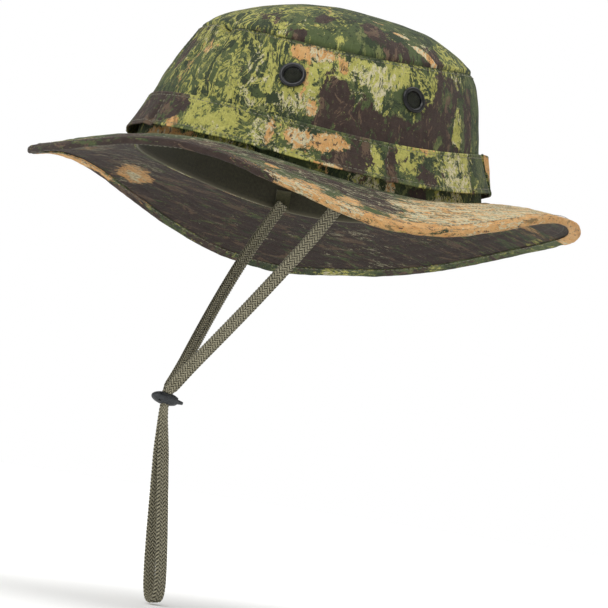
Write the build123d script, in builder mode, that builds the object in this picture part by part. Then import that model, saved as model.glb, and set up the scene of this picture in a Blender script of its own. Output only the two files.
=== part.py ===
from build123d import *

import os
from math import atan2, cos, hypot, pi, radians, sin, sqrt, tan

# Boonie hat with a foliage band, four screened vents and a chin cord with a spring cord lock.
# Millimetres, +Z up. The front faces -Y and the wearer's left is +X. The origin is the centre of
# the head opening, at the height of the base seam at the front and the back.
# Angles go around the hat in degrees: 0 front, 90 left, 180 back, 270 right.

os.makedirs("parts", exist_ok=True)

# Crown: an oval base seam, walls that lean in, and a domed tip. The base seam and the tip seam
# both sag at the sides.
HALF_LENGTH = 102.0
HALF_WIDTH = 85.5
TIP_HALF_LENGTH = 79.5
TIP_HALF_WIDTH = 72.0
TIP_SHIFT = 5.0
SEAM_HEIGHT = 70.5
SIDE_DIP = 11.5
BASE_DIP = 12.2
BASE_LEAN = 10.0
BACK_DROP = 1.5
FRONT_BULGE = 5.3
BACK_BULGE = 2.0
SHOULDER_POWER = 2.5
DOME_SIZE = (72.4, 86.9, 38.5)
DOME_BASE = 55.0
CLOTH = 1.0
SEAM_GAP = 0.25

# Brim: two cloth layers over an interfacing, in a left and a right half.
BRIM_HALF_LENGTH = 160.0
BRIM_HALF_WIDTH = 140.0
BRIM_ARCH = 2.5
BRIM_CLOTH = 0.8
INTERFACING = 0.5
LAYER_GAP = 0.1
BRIM_GAP = 0.2
BRIM_STACK = 2 * BRIM_CLOTH + INTERFACING + 2 * LAYER_GAP
# Binding: a strip folded over the rim, with its ends joined at the back.
BINDING_WIDTH = 5.5
BINDING_CLOTH = 0.5
BINDING_GAP = 0.3
# How the soft rim rises and falls around the hat: wave number, cosine height, sine height.
RIM_WAVES = (
    (0, -22.3, 0.0),
    (1, 3.5, 3.6),
    (2, 12.2, -4.9),
    (3, -6.0, -0.5),
    (4, -5.5, -1.1),
    (5, 0.3, -0.9),
    (6, 0.7, 1.0),
)

# Sweatband, size label, foliage band and the tab over its joined ends.
SWEATBAND_HEIGHT = 30.0
SWEATBAND_CLOTH = 1.2
SKIN_GAP = 0.15
LABEL_HALF_ANGLE = 9.0
LABEL_LOW = 8.0
LABEL_HIGH = 22.0
LABEL_CLOTH = 0.4
BAND_LOW = 6.5
BAND_HIGH = 26.0
BAND_SAG = 7.5
BAND_CLOTH = 1.2
BAND_STAND = 3.6
BAND_FRONT_STAND = 1.6
BAND_TOP_GAP = 0.5
BAND_FLARE = 1.5
END_ANGLE = 1.0
TAB_HALF_ANGLE = 7.0
TAB_OFFSET = 6.1
TAB_CLOTH = 1.6
TAB_LOW = 5.5
TAB_HIGH = 27.0

# Vents: a rolled eyelet outside, a washer inside and a screen between them.
VENTS = {
    "front_left": (68.0, 0.69),
    "rear_left": (110.5, 0.72),
    "rear_right": (249.5, 0.72),
    "front_right": (292.0, 0.69),
}
EYELET_RADIUS = 7.5
EYELET_HOLE = 4.7
BARREL_RADIUS = 5.2
BARREL_LENGTH = 2.0
CLOTH_HOLE = 5.4
FLANGE_GAP = 0.35
FLANGE_HEIGHT = 1.5
FLANGE_MIDDLE = 0.75
FLANGE_SHOULDER = 1.1
FLANGE_EDGE = 7.1
MOUTH_RADIUS = 5.3
MOUTH_HEIGHT = 0.2
WASHER_RADIUS = 7.2
WASHER_HOLE = 5.3
WASHER_THICKNESS = 0.6
WASHER_GAP = 0.5
SCREEN_RADIUS = 4.6
SCREEN_THICKNESS = 0.4

# Chin cord: one flat braid, sewn to a tab at each side, run through the cord lock to a free loop.
CORD_WIDTH = 7.0
CORD_THICKNESS = 2.0
PIVOT_Y = 7.0
PIVOT_Z = -13.0
CORD_X = 79.4
STRAP_TAB_SIZE = (1.0, 9.0, 11.0)
STRAP_TAB_X = 81.2
STRAP_TAB_Z = -10.5
# The strand's route from the tab to the lock: distance along it, and distance from mid plane.
STRAND_ROUTE = (
    (0.0, CORD_X),
    (20.0, 78.8),
    (48.0, 69.5),
    (80.0, 49.5),
    (109.0, 26.0),
    (130.0, 7.6),
    (146.0, 0.5),
)
# One side of the free loop: distance below the lock, and distance from its middle.
LOOP_ROUTE = ((0.0, 1.35), (22.0, 2.5), (46.0, 4.9), (70.0, 7.7), (90.0, 8.9), (102.0, 8.4), (108.5, 4.2))
LOOP_TURN = 17.0
LOOP_LEAN = 6.4

# Cord lock: its own X runs along the plunger and its own Z up along the cord.
LOCK_CENTRE = (0.0, -62.0, -143.0)
LOCK_TILT = 5.8
LOCK_HALF_SIZE = (9.0, 5.5, 3.7)
LOCK_OPEN_END = 6.0
CORD_TOP = 4.1
CORD_BOTTOM = 5.4
GRIP_WIDTH = 4.6
GRIP_THICKNESS = 2.5
GRIP_GAP = 0.2
CHANNEL = (5.2, 5.9)
PLUNGER_TRAVEL = 1.8
PLUNGER_HALF_WIDTH = 3.5
PLUNGER_HALF_HEIGHT = 2.0
PLUNGER_FRONT = -3.9
WINDOW_HALF_WIDTH = 2.9
WINDOW_FRONT = -2.6
WINDOW_BACK = 4.4
NUB_RADIUS = 1.7
NUB_TIP_RADIUS = 0.9
NUB_LENGTH = 5.2
RUNNING_GAP = 0.1
SPRING_RADIUS = 1.15
SPRING_WIRE = 0.22
SPRING_LENGTH = 3.5
SPRING_TURNS = 3.5
SPRING_POCKET_RADIUS = 1.6
SPRING_POCKET_END = -7.6

# An arc of a cord's tube takes this share of its shorter run. NEARBY is a small share of the wall's
# height, used to find its slope.
ARC_SHARE = 0.45
NEARBY = 0.02

# Sections around the hat, every STEP degrees.
STEP = 15
LEFT = range(0, 181, STEP)
RIGHT = range(180, 361, STEP)
BACK_TO_BACK = (180 + END_ANGLE, *range(180 + STEP, 540, STEP), 540 - END_ANGLE)


def save(piece, name):
    """Label a finished piece and write its STEP file."""
    piece.label = name
    export_step(piece, f"parts/{name}.step")


def base_point(angle):
    """Point on the base seam's oval, and the level direction straight out from it."""
    x = HALF_WIDTH * sin(radians(angle))
    y = -HALF_LENGTH * cos(radians(angle))
    length = hypot(x / HALF_WIDTH**2, y / HALF_LENGTH**2)
    return x, y, x / HALF_WIDTH**2 / length, y / HALF_LENGTH**2 / length


def reach(angle, half_length, half_width, shift):
    """Distance straight out from the base oval to another oval, negative inwards."""
    x, y, out_x, out_y = base_point(angle)
    a = (out_x / half_width) ** 2 + (out_y / half_length) ** 2
    b = 2 * (x * out_x / half_width**2 + (y - shift) * out_y / half_length**2)
    c = (x / half_width) ** 2 + ((y - shift) / half_length) ** 2 - 1
    return (-b + sqrt(b * b - 4 * a * c)) / (2 * a)


def frontness(angle):
    """1 at the front of the hat, 0 at the back."""
    return (1 + cos(radians(angle))) / 2


def base_sag(angle):
    """How far the base seam hangs below its front: deepest a little behind the sides."""
    sideways = sin(radians(angle)) ** 2
    return sideways * (BASE_DIP - BASE_LEAN * cos(radians(angle))) + BACK_DROP * (1 - frontness(angle))


def wall(angle, share):
    """Outer face of the crown wall: offset out from the base oval, and height."""
    x, _, out_x, _ = base_point(angle)
    lean = reach(angle, TIP_HALF_LENGTH, TIP_HALF_WIDTH, TIP_SHIFT)
    front = frontness(angle)
    climb = max(share, 0)
    bulge = FRONT_BULGE * front * sin(pi * climb)
    bulge += BACK_BULGE * (1 - front) * sin(pi * climb**SHOULDER_POWER)
    low = base_sag(angle)
    high = SIDE_DIP * ((x + lean * out_x) / TIP_HALF_WIDTH) ** 2
    return lean * climb + bulge, SEAM_HEIGHT * share - low * (1 - share) - high * share


def inside(angle, share):
    """Outer face of the sweatband, just inside the crown wall."""
    out, height = wall(angle, share)
    return out - CLOTH - SKIN_GAP, height


def band(angle, share):
    """Inner face of the foliage band, close to the crown at its top and off it below."""
    sag = BAND_SAG * (sin(radians(angle)) * frontness(angle)) ** 2
    height = BAND_LOW + (BAND_HIGH - BAND_LOW) * share - sag
    out, z = wall(angle, height / SEAM_HEIGHT)
    stand = BAND_STAND + BAND_FRONT_STAND * frontness(angle)
    return out + BAND_TOP_GAP + stand * (1 - share) ** BAND_FLARE, z


def tab(angle, share):
    """Inner face of the tab, standing off the back of the crown."""
    height = TAB_LOW + (TAB_HIGH - TAB_LOW) * share
    out, z = wall(angle, height / SEAM_HEIGHT)
    return out + TAB_OFFSET, z


def rim_height(angle):
    """Height of the brim's edge; here the angle is in radians."""
    return sum(rise * cos(n * angle) + tilt * sin(n * angle) for n, rise, tilt in RIM_WAVES)


def brim(angle, share):
    """Upper face of the brim, from the base seam at 0 to the rim at 1."""
    x, y, out_x, out_y = base_point(angle)
    width = reach(angle, BRIM_HALF_LENGTH, BRIM_HALF_WIDTH, 0)
    rim_x = (x + width * out_x) / BRIM_HALF_WIDTH
    rim_y = (y + width * out_y) / BRIM_HALF_LENGTH
    start = -base_sag(angle)
    drop = rim_height(atan2(rim_x, -rim_y)) - start
    out = BRIM_GAP + (width - BRIM_GAP) * share
    return out, start + drop * share + BRIM_ARCH * sin(pi * share)


def section_plane(angle):
    """Upright plane through the base oval: local X straight out, local Y up."""
    x, y, out_x, out_y = base_point(angle)
    return Plane(origin=(x, y, 0), x_dir=(out_x, out_y, 0), z_dir=(out_y, -out_x, 0))


def strip(angles, surface, shares, out_shift=0.0, down_shift=0.0, top=0.0):
    """Sections of a thin layer: a curve of the surface, and the same curve moved inwards or down."""
    sections = []
    for angle in angles:
        curve = [surface(angle, share) for share in shares]
        outer = [(out, z - top) for out, z in curve]
        inner = [(out - out_shift, z - top - down_shift) for out, z in curve]
        with BuildSketch(section_plane(angle)) as section:
            with BuildLine():
                near = Spline(*outer)
                far = Spline(*inner)
                Line(near @ 0, far @ 0)
                Line(near @ 1, far @ 1)
            make_face()
        sections.append(section.sketch.face())
    return sections


def spread(first, last, steps):
    """Evenly spaced shares from first to last."""
    return [first + (last - first) * i / steps for i in range(steps + 1)]


def wall_place(angle, share):
    """Point of the crown's outer face as a vector."""
    x, y, out_x, out_y = base_point(angle)
    out, z = wall(angle, share)
    return Vector(x + out * out_x, y + out * out_y, z)


def wall_plane(angle, share):
    """Frame on the crown's outer face: local Z straight out of the cloth."""
    across = wall_place(angle + 1, share) - wall_place(angle - 1, share)
    upward = wall_place(angle, share + NEARBY) - wall_place(angle, share - NEARBY)
    return Plane(origin=wall_place(angle, share), x_dir=across, z_dir=across.cross(upward))


# Crown walls, left and right, with two vent holes in each.
WALL_SHARES = spread(-BRIM_STACK / SEAM_HEIGHT, (SEAM_HEIGHT - SEAM_GAP) / SEAM_HEIGHT, 8)
VENT_PLANES = {name: wall_plane(angle, share) for name, (angle, share) in VENTS.items()}

for side, angles in (("left", LEFT), ("right", RIGHT)):
    with BuildPart() as crown_side:
        loft(strip(angles, wall, WALL_SHARES, out_shift=CLOTH))
        for place in ("front", "rear"):
            with BuildSketch(VENT_PLANES[f"{place}_{side}"]):
                Circle(CLOTH_HOLE)
            extrude(amount=3 * CLOTH, both=True, mode=Mode.SUBTRACT)
    save(crown_side.part, f"crown_side_{side}")

# Crown tip: an ellipsoid shell, cut off along the sagging tip seam, built about its own centre.
seam_arc_radius = (TIP_HALF_WIDTH**2 + SIDE_DIP**2) / (2 * SIDE_DIP)
seam_end_drop = seam_arc_radius - sqrt(seam_arc_radius**2 - HALF_WIDTH**2)
seam_middle = SEAM_HEIGHT - DOME_BASE

with BuildPart() as dome_hollow:
    Sphere(1)
    scale(by=tuple(size - CLOTH for size in DOME_SIZE))

with BuildPart() as crown_tip:
    Sphere(1)
    scale(by=DOME_SIZE)
    add(dome_hollow.part, mode=Mode.SUBTRACT)
    with BuildSketch(Plane.XZ):
        with BuildLine():
            seam_end = (HALF_WIDTH, seam_middle - seam_end_drop)
            seam_start = (-HALF_WIDTH, seam_middle - seam_end_drop)
            ThreePointArc(seam_start, (0, seam_middle), seam_end)
            Polyline(seam_end, (HALF_WIDTH, DOME_BASE), (-HALF_WIDTH, DOME_BASE), seam_start)
        make_face()
    extrude(amount=HALF_LENGTH, both=True, mode=Mode.INTERSECT)
save(Pos(0, TIP_SHIFT, DOME_BASE) * crown_tip.part, "crown_tip")

# Brim: upper cloth, interfacing and lower cloth, each in two halves that meet at front and back.
BRIM_SHARES = spread(0, 1, 4)
BRIM_LAYERS = (
    ("brim_upper", 0.0, BRIM_CLOTH),
    ("brim_interfacing", BRIM_CLOTH + LAYER_GAP, INTERFACING),
    ("brim_lower", BRIM_CLOTH + INTERFACING + 2 * LAYER_GAP, BRIM_CLOTH),
)
for layer, depth, thickness in BRIM_LAYERS:
    for side, angles in (("left", LEFT), ("right", RIGHT)):
        with BuildPart() as brim_layer:
            loft(strip(angles, brim, BRIM_SHARES, down_shift=thickness, top=depth))
        save(brim_layer.part, f"{layer}_{side}")


def binding_section(angle):
    """C-shaped section of the binding: over the rim, around it and back under it."""
    width = reach(angle, BRIM_HALF_LENGTH, BRIM_HALF_WIDTH, 0)
    near = Vector(*brim(angle, 1 - BINDING_WIDTH / width))
    rim = Vector(*brim(angle, 1))
    skin = BINDING_GAP + BINDING_CLOTH
    drop = BRIM_STACK
    with BuildSketch(section_plane(angle)) as section:
        with BuildLine():
            Polyline(
                near + (0, skin),
                rim + (BINDING_GAP, skin),
                rim + (skin, BINDING_GAP),
                rim + (skin, -drop - BINDING_GAP),
                rim + (BINDING_GAP, -drop - skin),
                near + (0, -drop - skin),
                near + (0, -drop - BINDING_GAP),
                rim + (BINDING_GAP, -drop - BINDING_GAP),
                rim + (BINDING_GAP, BINDING_GAP),
                near + (0, BINDING_GAP),
                close=True,
            )
        make_face()
    return section.sketch.face()


with BuildPart() as brim_binding:
    loft([binding_section(angle) for angle in BACK_TO_BACK])
save(brim_binding.part, "brim_binding")

# Sweatband: one strip whose ends meet at the back, with the size label sewn over the joint.
SWEATBAND_SHARES = spread(-BRIM_STACK / SEAM_HEIGHT, SWEATBAND_HEIGHT / SEAM_HEIGHT, 4)

with BuildPart() as sweatband:
    loft(strip(BACK_TO_BACK, inside, SWEATBAND_SHARES, out_shift=SWEATBAND_CLOTH))
save(sweatband.part, "sweatband")


def label_face(angle, share):
    """Outer face of the size label, just inside the sweatband."""
    out, z = inside(angle, share)
    return out - SWEATBAND_CLOTH - SKIN_GAP, z


LABEL_ANGLES = spread(180 - LABEL_HALF_ANGLE, 180 + LABEL_HALF_ANGLE, 2)
LABEL_SHARES = spread(LABEL_LOW / SEAM_HEIGHT, LABEL_HIGH / SEAM_HEIGHT, 2)

with BuildPart() as size_label:
    loft(strip(LABEL_ANGLES, label_face, LABEL_SHARES, out_shift=LABEL_CLOTH))
save(size_label.part, "size_label")

# Foliage band: one strip around the crown, its ends joined under a tab at the back.
with BuildPart() as foliage_band:
    loft(strip(BACK_TO_BACK, band, spread(0, 1, 4), out_shift=-BAND_CLOTH))
save(foliage_band.part, "foliage_band")

with BuildPart() as band_tab:
    tab_angles = spread(180 - TAB_HALF_ANGLE, 180 + TAB_HALF_ANGLE, 2)
    loft(strip(tab_angles, tab, spread(0, 1, 2), out_shift=-TAB_CLOTH))
save(band_tab.part, "band_tab")

# Vent hardware, made once about the local Z axis with the cloth's outer face at Z = 0.
with BuildPart() as eyelet:
    with BuildSketch(Plane.XZ):
        with BuildLine():
            mouth = (EYELET_HOLE, MOUTH_HEIGHT)
            mouth_side = ((EYELET_HOLE + MOUTH_RADIUS) / 2 - LAYER_GAP, FLANGE_MIDDLE)
            mouth_top = (MOUTH_RADIUS, FLANGE_SHOULDER)
            crest = ((EYELET_RADIUS + BARREL_RADIUS) / 2, FLANGE_HEIGHT)
            edge_top = (FLANGE_EDGE, FLANGE_SHOULDER)
            edge_foot = (FLANGE_EDGE, FLANGE_GAP)
            Polyline(
                mouth,
                (EYELET_HOLE, -BARREL_LENGTH),
                (BARREL_RADIUS, -BARREL_LENGTH),
                (BARREL_RADIUS, FLANGE_GAP),
                edge_foot,
            )
            ThreePointArc(edge_foot, (EYELET_RADIUS, FLANGE_MIDDLE), edge_top)
            ThreePointArc(edge_top, crest, mouth_top)
            ThreePointArc(mouth_top, mouth_side, mouth)
        make_face()
    revolve(axis=Axis.Z)

with BuildPart() as washer:
    with BuildSketch(Plane.XY.offset(-CLOTH - WASHER_GAP)):
        Circle(WASHER_RADIUS)
        Circle(WASHER_HOLE, mode=Mode.SUBTRACT)
    extrude(amount=-WASHER_THICKNESS)

with BuildPart() as screen:
    with BuildSketch(Plane.XY.offset(-CLOTH / 2)):
        Circle(SCREEN_RADIUS)
    extrude(amount=SCREEN_THICKNESS)

for name, plane in VENT_PLANES.items():
    save(plane.location * eyelet.part, f"vent_eyelet_{name}")
    save(plane.location * washer.part, f"vent_washer_{name}")
    save(plane.location * screen.part, f"vent_screen_{name}")

# Strap tabs: small cloth tabs on the sweatband that hold the ends of the chin cord.
for side, sign in (("left", 1), ("right", -1)):
    with BuildPart() as strap_tab:
        with Locations((sign * STRAP_TAB_X, PIVOT_Y, STRAP_TAB_Z)):
            Box(*STRAP_TAB_SIZE)
    save(strap_tab.part, f"strap_tab_{side}")

# Cord lock: a hollow bean with a channel for the cord, a sprung plunger with a window and a nub.
tilt = radians(LOCK_TILT)
channel_up = Vector(0, sin(tilt), cos(tilt))
lock_front_to_back = Vector(0, cos(tilt), -sin(tilt))
lock_frame = Plane(origin=LOCK_CENTRE, x_dir=lock_front_to_back, z_dir=channel_up)
lock_frame = lock_frame.rotated((0, 0, LOOP_TURN))
cavity_front = PLUNGER_FRONT - PLUNGER_TRAVEL - RUNNING_GAP

with BuildPart() as lock_body:
    Sphere(1)
    scale(by=LOCK_HALF_SIZE)
    split(bisect_by=Plane.YZ.offset(LOCK_OPEN_END), keep=Keep.BOTTOM)
    with BuildSketch(Plane.XY):
        Rectangle(*CHANNEL)
    extrude(amount=2 * LOCK_HALF_SIZE[2], both=True, mode=Mode.SUBTRACT)
    with BuildSketch(Plane.YZ.offset(cavity_front)):
        Rectangle(2 * (PLUNGER_HALF_WIDTH + RUNNING_GAP), 2 * (PLUNGER_HALF_HEIGHT + RUNNING_GAP))
    extrude(amount=2 * LOCK_HALF_SIZE[0], mode=Mode.SUBTRACT)
    with BuildSketch(Plane.YZ.offset(SPRING_POCKET_END)):
        Circle(SPRING_POCKET_RADIUS)
    extrude(amount=LOCK_HALF_SIZE[1], mode=Mode.SUBTRACT)
save(lock_frame.location * lock_body.part, "lock_body")

with BuildPart() as lock_plunger:
    with BuildSketch(Plane.YZ.offset(PLUNGER_FRONT)):
        Rectangle(2 * PLUNGER_HALF_WIDTH, 2 * PLUNGER_HALF_HEIGHT)
    extrude(amount=LOCK_OPEN_END - PLUNGER_FRONT)
    with BuildSketch(Plane.XY):
        with Locations(((WINDOW_FRONT + WINDOW_BACK) / 2, 0)):
            Rectangle(WINDOW_BACK - WINDOW_FRONT, 2 * WINDOW_HALF_WIDTH)
    extrude(amount=LOCK_HALF_SIZE[2], both=True, mode=Mode.SUBTRACT)
    with BuildSketch(Plane.YZ.offset(LOCK_OPEN_END)) as nub_foot:
        Circle(NUB_RADIUS)
    with BuildSketch(Plane.YZ.offset(LOCK_OPEN_END + NUB_LENGTH)) as nub_tip:
        Circle(NUB_TIP_RADIUS)
    loft([nub_foot.sketch.face(), nub_tip.sketch.face()])
save(lock_frame.location * lock_plunger.part, "lock_plunger")

with BuildPart() as lock_spring:
    with BuildLine() as coil:
        Helix(
            pitch=SPRING_LENGTH / SPRING_TURNS,
            height=SPRING_LENGTH - 2 * SPRING_WIRE,
            radius=SPRING_RADIUS,
            center=(SPRING_POCKET_END + SPRING_WIRE + RUNNING_GAP / 2, 0, 0),
            direction=(1, 0, 0),
        )
    with BuildSketch(Plane(origin=coil.line @ 0, z_dir=coil.line % 0)):
        Circle(SPRING_WIRE)
    sweep(is_frenet=True)
save(lock_frame.location * lock_spring.part, "lock_spring")


def corner_radii(route):
    """Arc for each corner: a share of its shorter run, over the tangent of half its turn."""
    radii = []
    for before, corner, after in zip(route, route[1:], route[2:]):
        arriving = Vector(*corner) - Vector(*before)
        leaving = Vector(*after) - Vector(*corner)
        half_turn = radians(arriving.get_angle(leaving) / 2)
        radii.append(ARC_SHARE * min(arriving.length, leaving.length) / tan(half_turn))
    return radii


def report(name, route, piece, line):
    """Print a cord's radii and length, and its volume against section times length."""
    print(name, "radii", [round(radius, 1) for radius in corner_radii(route)])
    expected = CORD_WIDTH * CORD_THICKNESS * line.length
    print(name, "length", round(line.length, 1), "volume", round(piece.volume), round(expected))


# Chin cord strands: each in the plane of the lateral axis and the line from its tab to the lock.
cord_join = lock_frame.from_local_coords(Vector(0, 0, CORD_TOP))
join_plane = Plane(origin=cord_join, z_dir=channel_up)
pivot = Vector(0, PIVOT_Y, PIVOT_Z)
down_strand = (cord_join - pivot).normalized()
strand_plane = Plane(origin=pivot, x_dir=down_strand, z_dir=down_strand.cross(Vector(1, 0, 0)))

for side, sign in (("left", 1), ("right", -1)):
    route = [(along, sign * out) for along, out in STRAND_ROUTE]
    with BuildPart() as chin_cord:
        with BuildLine(strand_plane) as strand:
            FilletPolyline(*route, radius=corner_radii(route))
        section_frame = Plane(origin=strand.line @ 0, x_dir=strand_plane.z_dir, z_dir=strand.line % 0)
        with BuildSketch(section_frame):
            Rectangle(CORD_WIDTH, CORD_THICKNESS)
        sweep()
        cord_side = Vector(sign * CORD_X - CORD_THICKNESS / 2, PIVOT_Y, PIVOT_Z)
        with BuildSketch(Plane(origin=cord_side, z_dir=(1, 0, 0))):
            Circle(CORD_WIDTH / 2)
        extrude(amount=CORD_THICKNESS)
        split(bisect_by=join_plane, keep=Keep.TOP)
    save(chin_cord.part, f"chin_cord_{side}")
    report(f"chin_cord_{side}", route, chin_cord.part, strand.wire())

# Free loop of the chin cord: two squeezed stretches inside the lock, then a slim hanging loop.
lean = radians(LOOP_LEAN)
loop_down = Vector(0, sin(lean), -cos(lean))
loop_start = lock_frame.from_local_coords(Vector(0, 0, GRIP_GAP - CORD_BOTTOM))
loop_plane = Plane(origin=loop_start, x_dir=loop_down, z_dir=(0, cos(lean), sin(lean)))
loop_plane = loop_plane.rotated((-LOOP_TURN, 0, 0))
loop_route = list(LOOP_ROUTE) + [(along, -out) for along, out in reversed(LOOP_ROUTE)]

with BuildPart() as grip:
    with BuildSketch(Plane.XY.offset(-CORD_BOTTOM)):
        for sign in (1, -1):
            with Locations((0, sign * (GRIP_GAP + GRIP_THICKNESS) / 2)):
                Rectangle(GRIP_WIDTH, GRIP_THICKNESS)
    extrude(amount=CORD_BOTTOM + CORD_TOP - LAYER_GAP / 2)

with BuildPart() as cord_tail:
    with BuildLine(loop_plane) as loop:
        FilletPolyline(*loop_route, radius=corner_radii(loop_route))
    with BuildSketch(Plane(origin=loop.line @ 0, x_dir=loop_plane.z_dir, z_dir=loop.line % 0)):
        Rectangle(CORD_WIDTH, CORD_THICKNESS)
    sweep()
    add(lock_frame.location * grip.part)
save(cord_tail.part, "cord_tail")
report("cord_tail", loop_route, cord_tail.part, loop.wire())
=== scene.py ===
import math

import bpy
import numpy as np
from mathutils import Matrix, Vector, noise


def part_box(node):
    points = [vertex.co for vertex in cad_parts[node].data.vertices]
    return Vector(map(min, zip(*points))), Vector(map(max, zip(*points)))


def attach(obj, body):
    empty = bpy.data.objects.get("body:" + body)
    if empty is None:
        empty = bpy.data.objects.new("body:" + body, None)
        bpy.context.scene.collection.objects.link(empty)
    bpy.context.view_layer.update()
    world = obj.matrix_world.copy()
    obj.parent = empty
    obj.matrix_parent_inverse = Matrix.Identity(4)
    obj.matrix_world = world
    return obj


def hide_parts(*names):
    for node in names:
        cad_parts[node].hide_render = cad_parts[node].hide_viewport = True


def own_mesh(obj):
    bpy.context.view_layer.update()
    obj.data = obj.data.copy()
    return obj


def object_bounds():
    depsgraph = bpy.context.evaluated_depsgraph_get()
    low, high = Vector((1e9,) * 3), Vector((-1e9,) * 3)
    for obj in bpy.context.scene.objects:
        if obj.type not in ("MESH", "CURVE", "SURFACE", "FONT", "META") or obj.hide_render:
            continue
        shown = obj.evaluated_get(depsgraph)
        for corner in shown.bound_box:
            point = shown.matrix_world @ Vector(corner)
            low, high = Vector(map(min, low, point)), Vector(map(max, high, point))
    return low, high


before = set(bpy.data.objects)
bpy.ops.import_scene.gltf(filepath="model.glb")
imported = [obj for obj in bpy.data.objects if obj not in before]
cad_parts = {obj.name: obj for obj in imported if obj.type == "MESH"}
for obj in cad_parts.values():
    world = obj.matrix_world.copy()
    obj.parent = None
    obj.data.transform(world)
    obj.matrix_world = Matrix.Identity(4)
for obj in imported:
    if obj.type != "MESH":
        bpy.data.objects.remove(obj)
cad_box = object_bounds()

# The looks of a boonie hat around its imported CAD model. Shapes are worked out in the hat's own
# millimetres, with the same surfaces as the CAD, and MM turns them into Blender's metres.
# Angles go around the hat in degrees: 0 front, 90 left, 180 back, 270 right. A share goes from 0
# at the base seam to 1 at the tip seam or at the rim.
MM = 0.001
SIDES = (("left", 0, 180, 1), ("right", 180, 360, -1))

# Crown.
HALF_LENGTH = 102.0
HALF_WIDTH = 85.5
TIP_HALF_LENGTH = 79.5
TIP_HALF_WIDTH = 72.0
TIP_SHIFT = 5.0
SEAM_HEIGHT = 70.5
SIDE_DIP = 11.5
BASE_DIP = 12.2
BASE_LEAN = 10.0
BACK_DROP = 1.5
FRONT_BULGE = 5.3
BACK_BULGE = 2.0
SHOULDER_POWER = 2.5
DOME_SIZE = (72.4, 86.9, 38.5)
DOME_BASE = 55.0
CLOTH = 1.0
SKIN_GAP = 0.15

# Brim and binding.
BRIM_HALF_LENGTH = 160.0
BRIM_HALF_WIDTH = 140.0
BRIM_ARCH = 2.5
BRIM_CLOTH = 0.8
BRIM_GAP = 0.2
BRIM_STACK = 2.3
RIM_WAVES = (
    (0, -22.3, 0.0),
    (1, 3.5, 3.6),
    (2, 12.2, -4.9),
    (3, -6.0, -0.5),
    (4, -5.5, -1.1),
    (5, 0.3, -0.9),
    (6, 0.7, 1.0),
)
BRIM_ROWS = 8
BINDING_WIDTH = 5.5
BINDING_CLOTH = 0.5
BINDING_SKIN = 0.8

# Sweatband, label, foliage band and tab.
SWEATBAND_HEIGHT = 30.0
SWEATBAND_CLOTH = 1.2
SWEATBAND_RIDGE = 2.5
LABEL_HALF_ANGLE = 9.0
LABEL_LOW = 8
LABEL_HIGH = 22
LABEL_CLOTH = 0.4
LABEL_STAND = 0.75
STRAP_TAB_CLOTH = 0.9
BAND_LOW = 6.5
BAND_HIGH = 26.0
BAND_HEIGHT = BAND_HIGH - BAND_LOW
BAND_STITCH_ROWS = (1.7, BAND_HEIGHT - 1.5)
BAND_SAG = 7.5
BAND_CLOTH = 1.2
BAND_STAND = 3.6
BAND_FRONT_STAND = 1.6
BAND_TOP_GAP = 0.5
BAND_FLARE = 1.5
TACKS = (18.5, 63.0, 102.0, 141.0, 219.0, 258.0, 297.0, 341.5)
TAB_HALF_ANGLE = 7.0
TAB_OFFSET = 6.1
TAB_CLOTH = 1.6
TAB_LOW = 5.5
TAB_HIGH = 27.0

# Vents.
VENTS = {
    "front_left": (68.0, 0.69),
    "rear_left": (110.5, 0.72),
    "rear_right": (249.5, 0.72),
    "front_right": (292.0, 0.69),
}
VENT_HOLE = 5.9
SCREEN_RADIUS = 4.65
SCREEN_DEPTH = 0.45
SCREEN_PITCH = 0.54
SCREEN_WIRE_RADIUS = 0.18
SCREEN_WAVE = 0.16
SCREEN_SIDES = 5

# Chin cord and lock.
PIVOT = (0.0, 7.0, -13.0)
CORD_X = 79.4
STRAND_ROUTE = (
    (0.0, CORD_X),
    (20.0, 78.8),
    (48.0, 69.5),
    (80.0, 49.5),
    (109.0, 26.0),
    (130.0, 7.6),
    (146.0, 0.5),
)
LOOP_ROUTE = (
    (0.0, 1.2),
    (22.0, 2.2),
    (46.0, 4.0),
    (70.0, 5.9),
    (90.0, 6.8),
    (102.0, 6.4),
    (108.5, 3.6),
)
LOOP_TWIST = 0.3
IN_LOCK = 6.0
IN_LOCK_HALF_GAP = 0.9
LOOP_TURN = 17.0
LOOP_LEAN = 6.4
LOCK_CENTRE = (0.0, -62.0, -143.0)
LOCK_TILT = 5.8
SPRING_FOOT = 7.6
SPRING_WIRE = 0.22
SPRING_RADIUS = 1.15
SPRING_TURNS = 3.06
SPRING_HEIGHT = 3.06
SPRING_SIDES = 10
SPRING_STEPS = 120
CORD_TOP = 4.1
CORD_BOTTOM = 5.4
GRIP_GAP = 0.2


# ---------------------------------------------------------------------------------------------
# Surfaces, the same as the CAD's. Angles and shares are numbers or numpy arrays.


def base_point(angle):
    """Point on the base seam's oval, and the level direction straight out from it."""
    x = HALF_WIDTH * np.sin(np.radians(angle))
    y = -HALF_LENGTH * np.cos(np.radians(angle))
    length = np.hypot(x / HALF_WIDTH**2, y / HALF_LENGTH**2)
    return x, y, x / HALF_WIDTH**2 / length, y / HALF_LENGTH**2 / length


def reach(angle, half_length, half_width, shift):
    """Distance straight out from the base oval to another oval, negative inwards."""
    x, y, out_x, out_y = base_point(angle)
    a = (out_x / half_width) ** 2 + (out_y / half_length) ** 2
    b = 2 * (x * out_x / half_width**2 + (y - shift) * out_y / half_length**2)
    c = (x / half_width) ** 2 + ((y - shift) / half_length) ** 2 - 1
    return (-b + np.sqrt(b * b - 4 * a * c)) / (2 * a)


def frontness(angle):
    """1 at the front of the hat, 0 at the back."""
    return (1 + np.cos(np.radians(angle))) / 2


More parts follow.
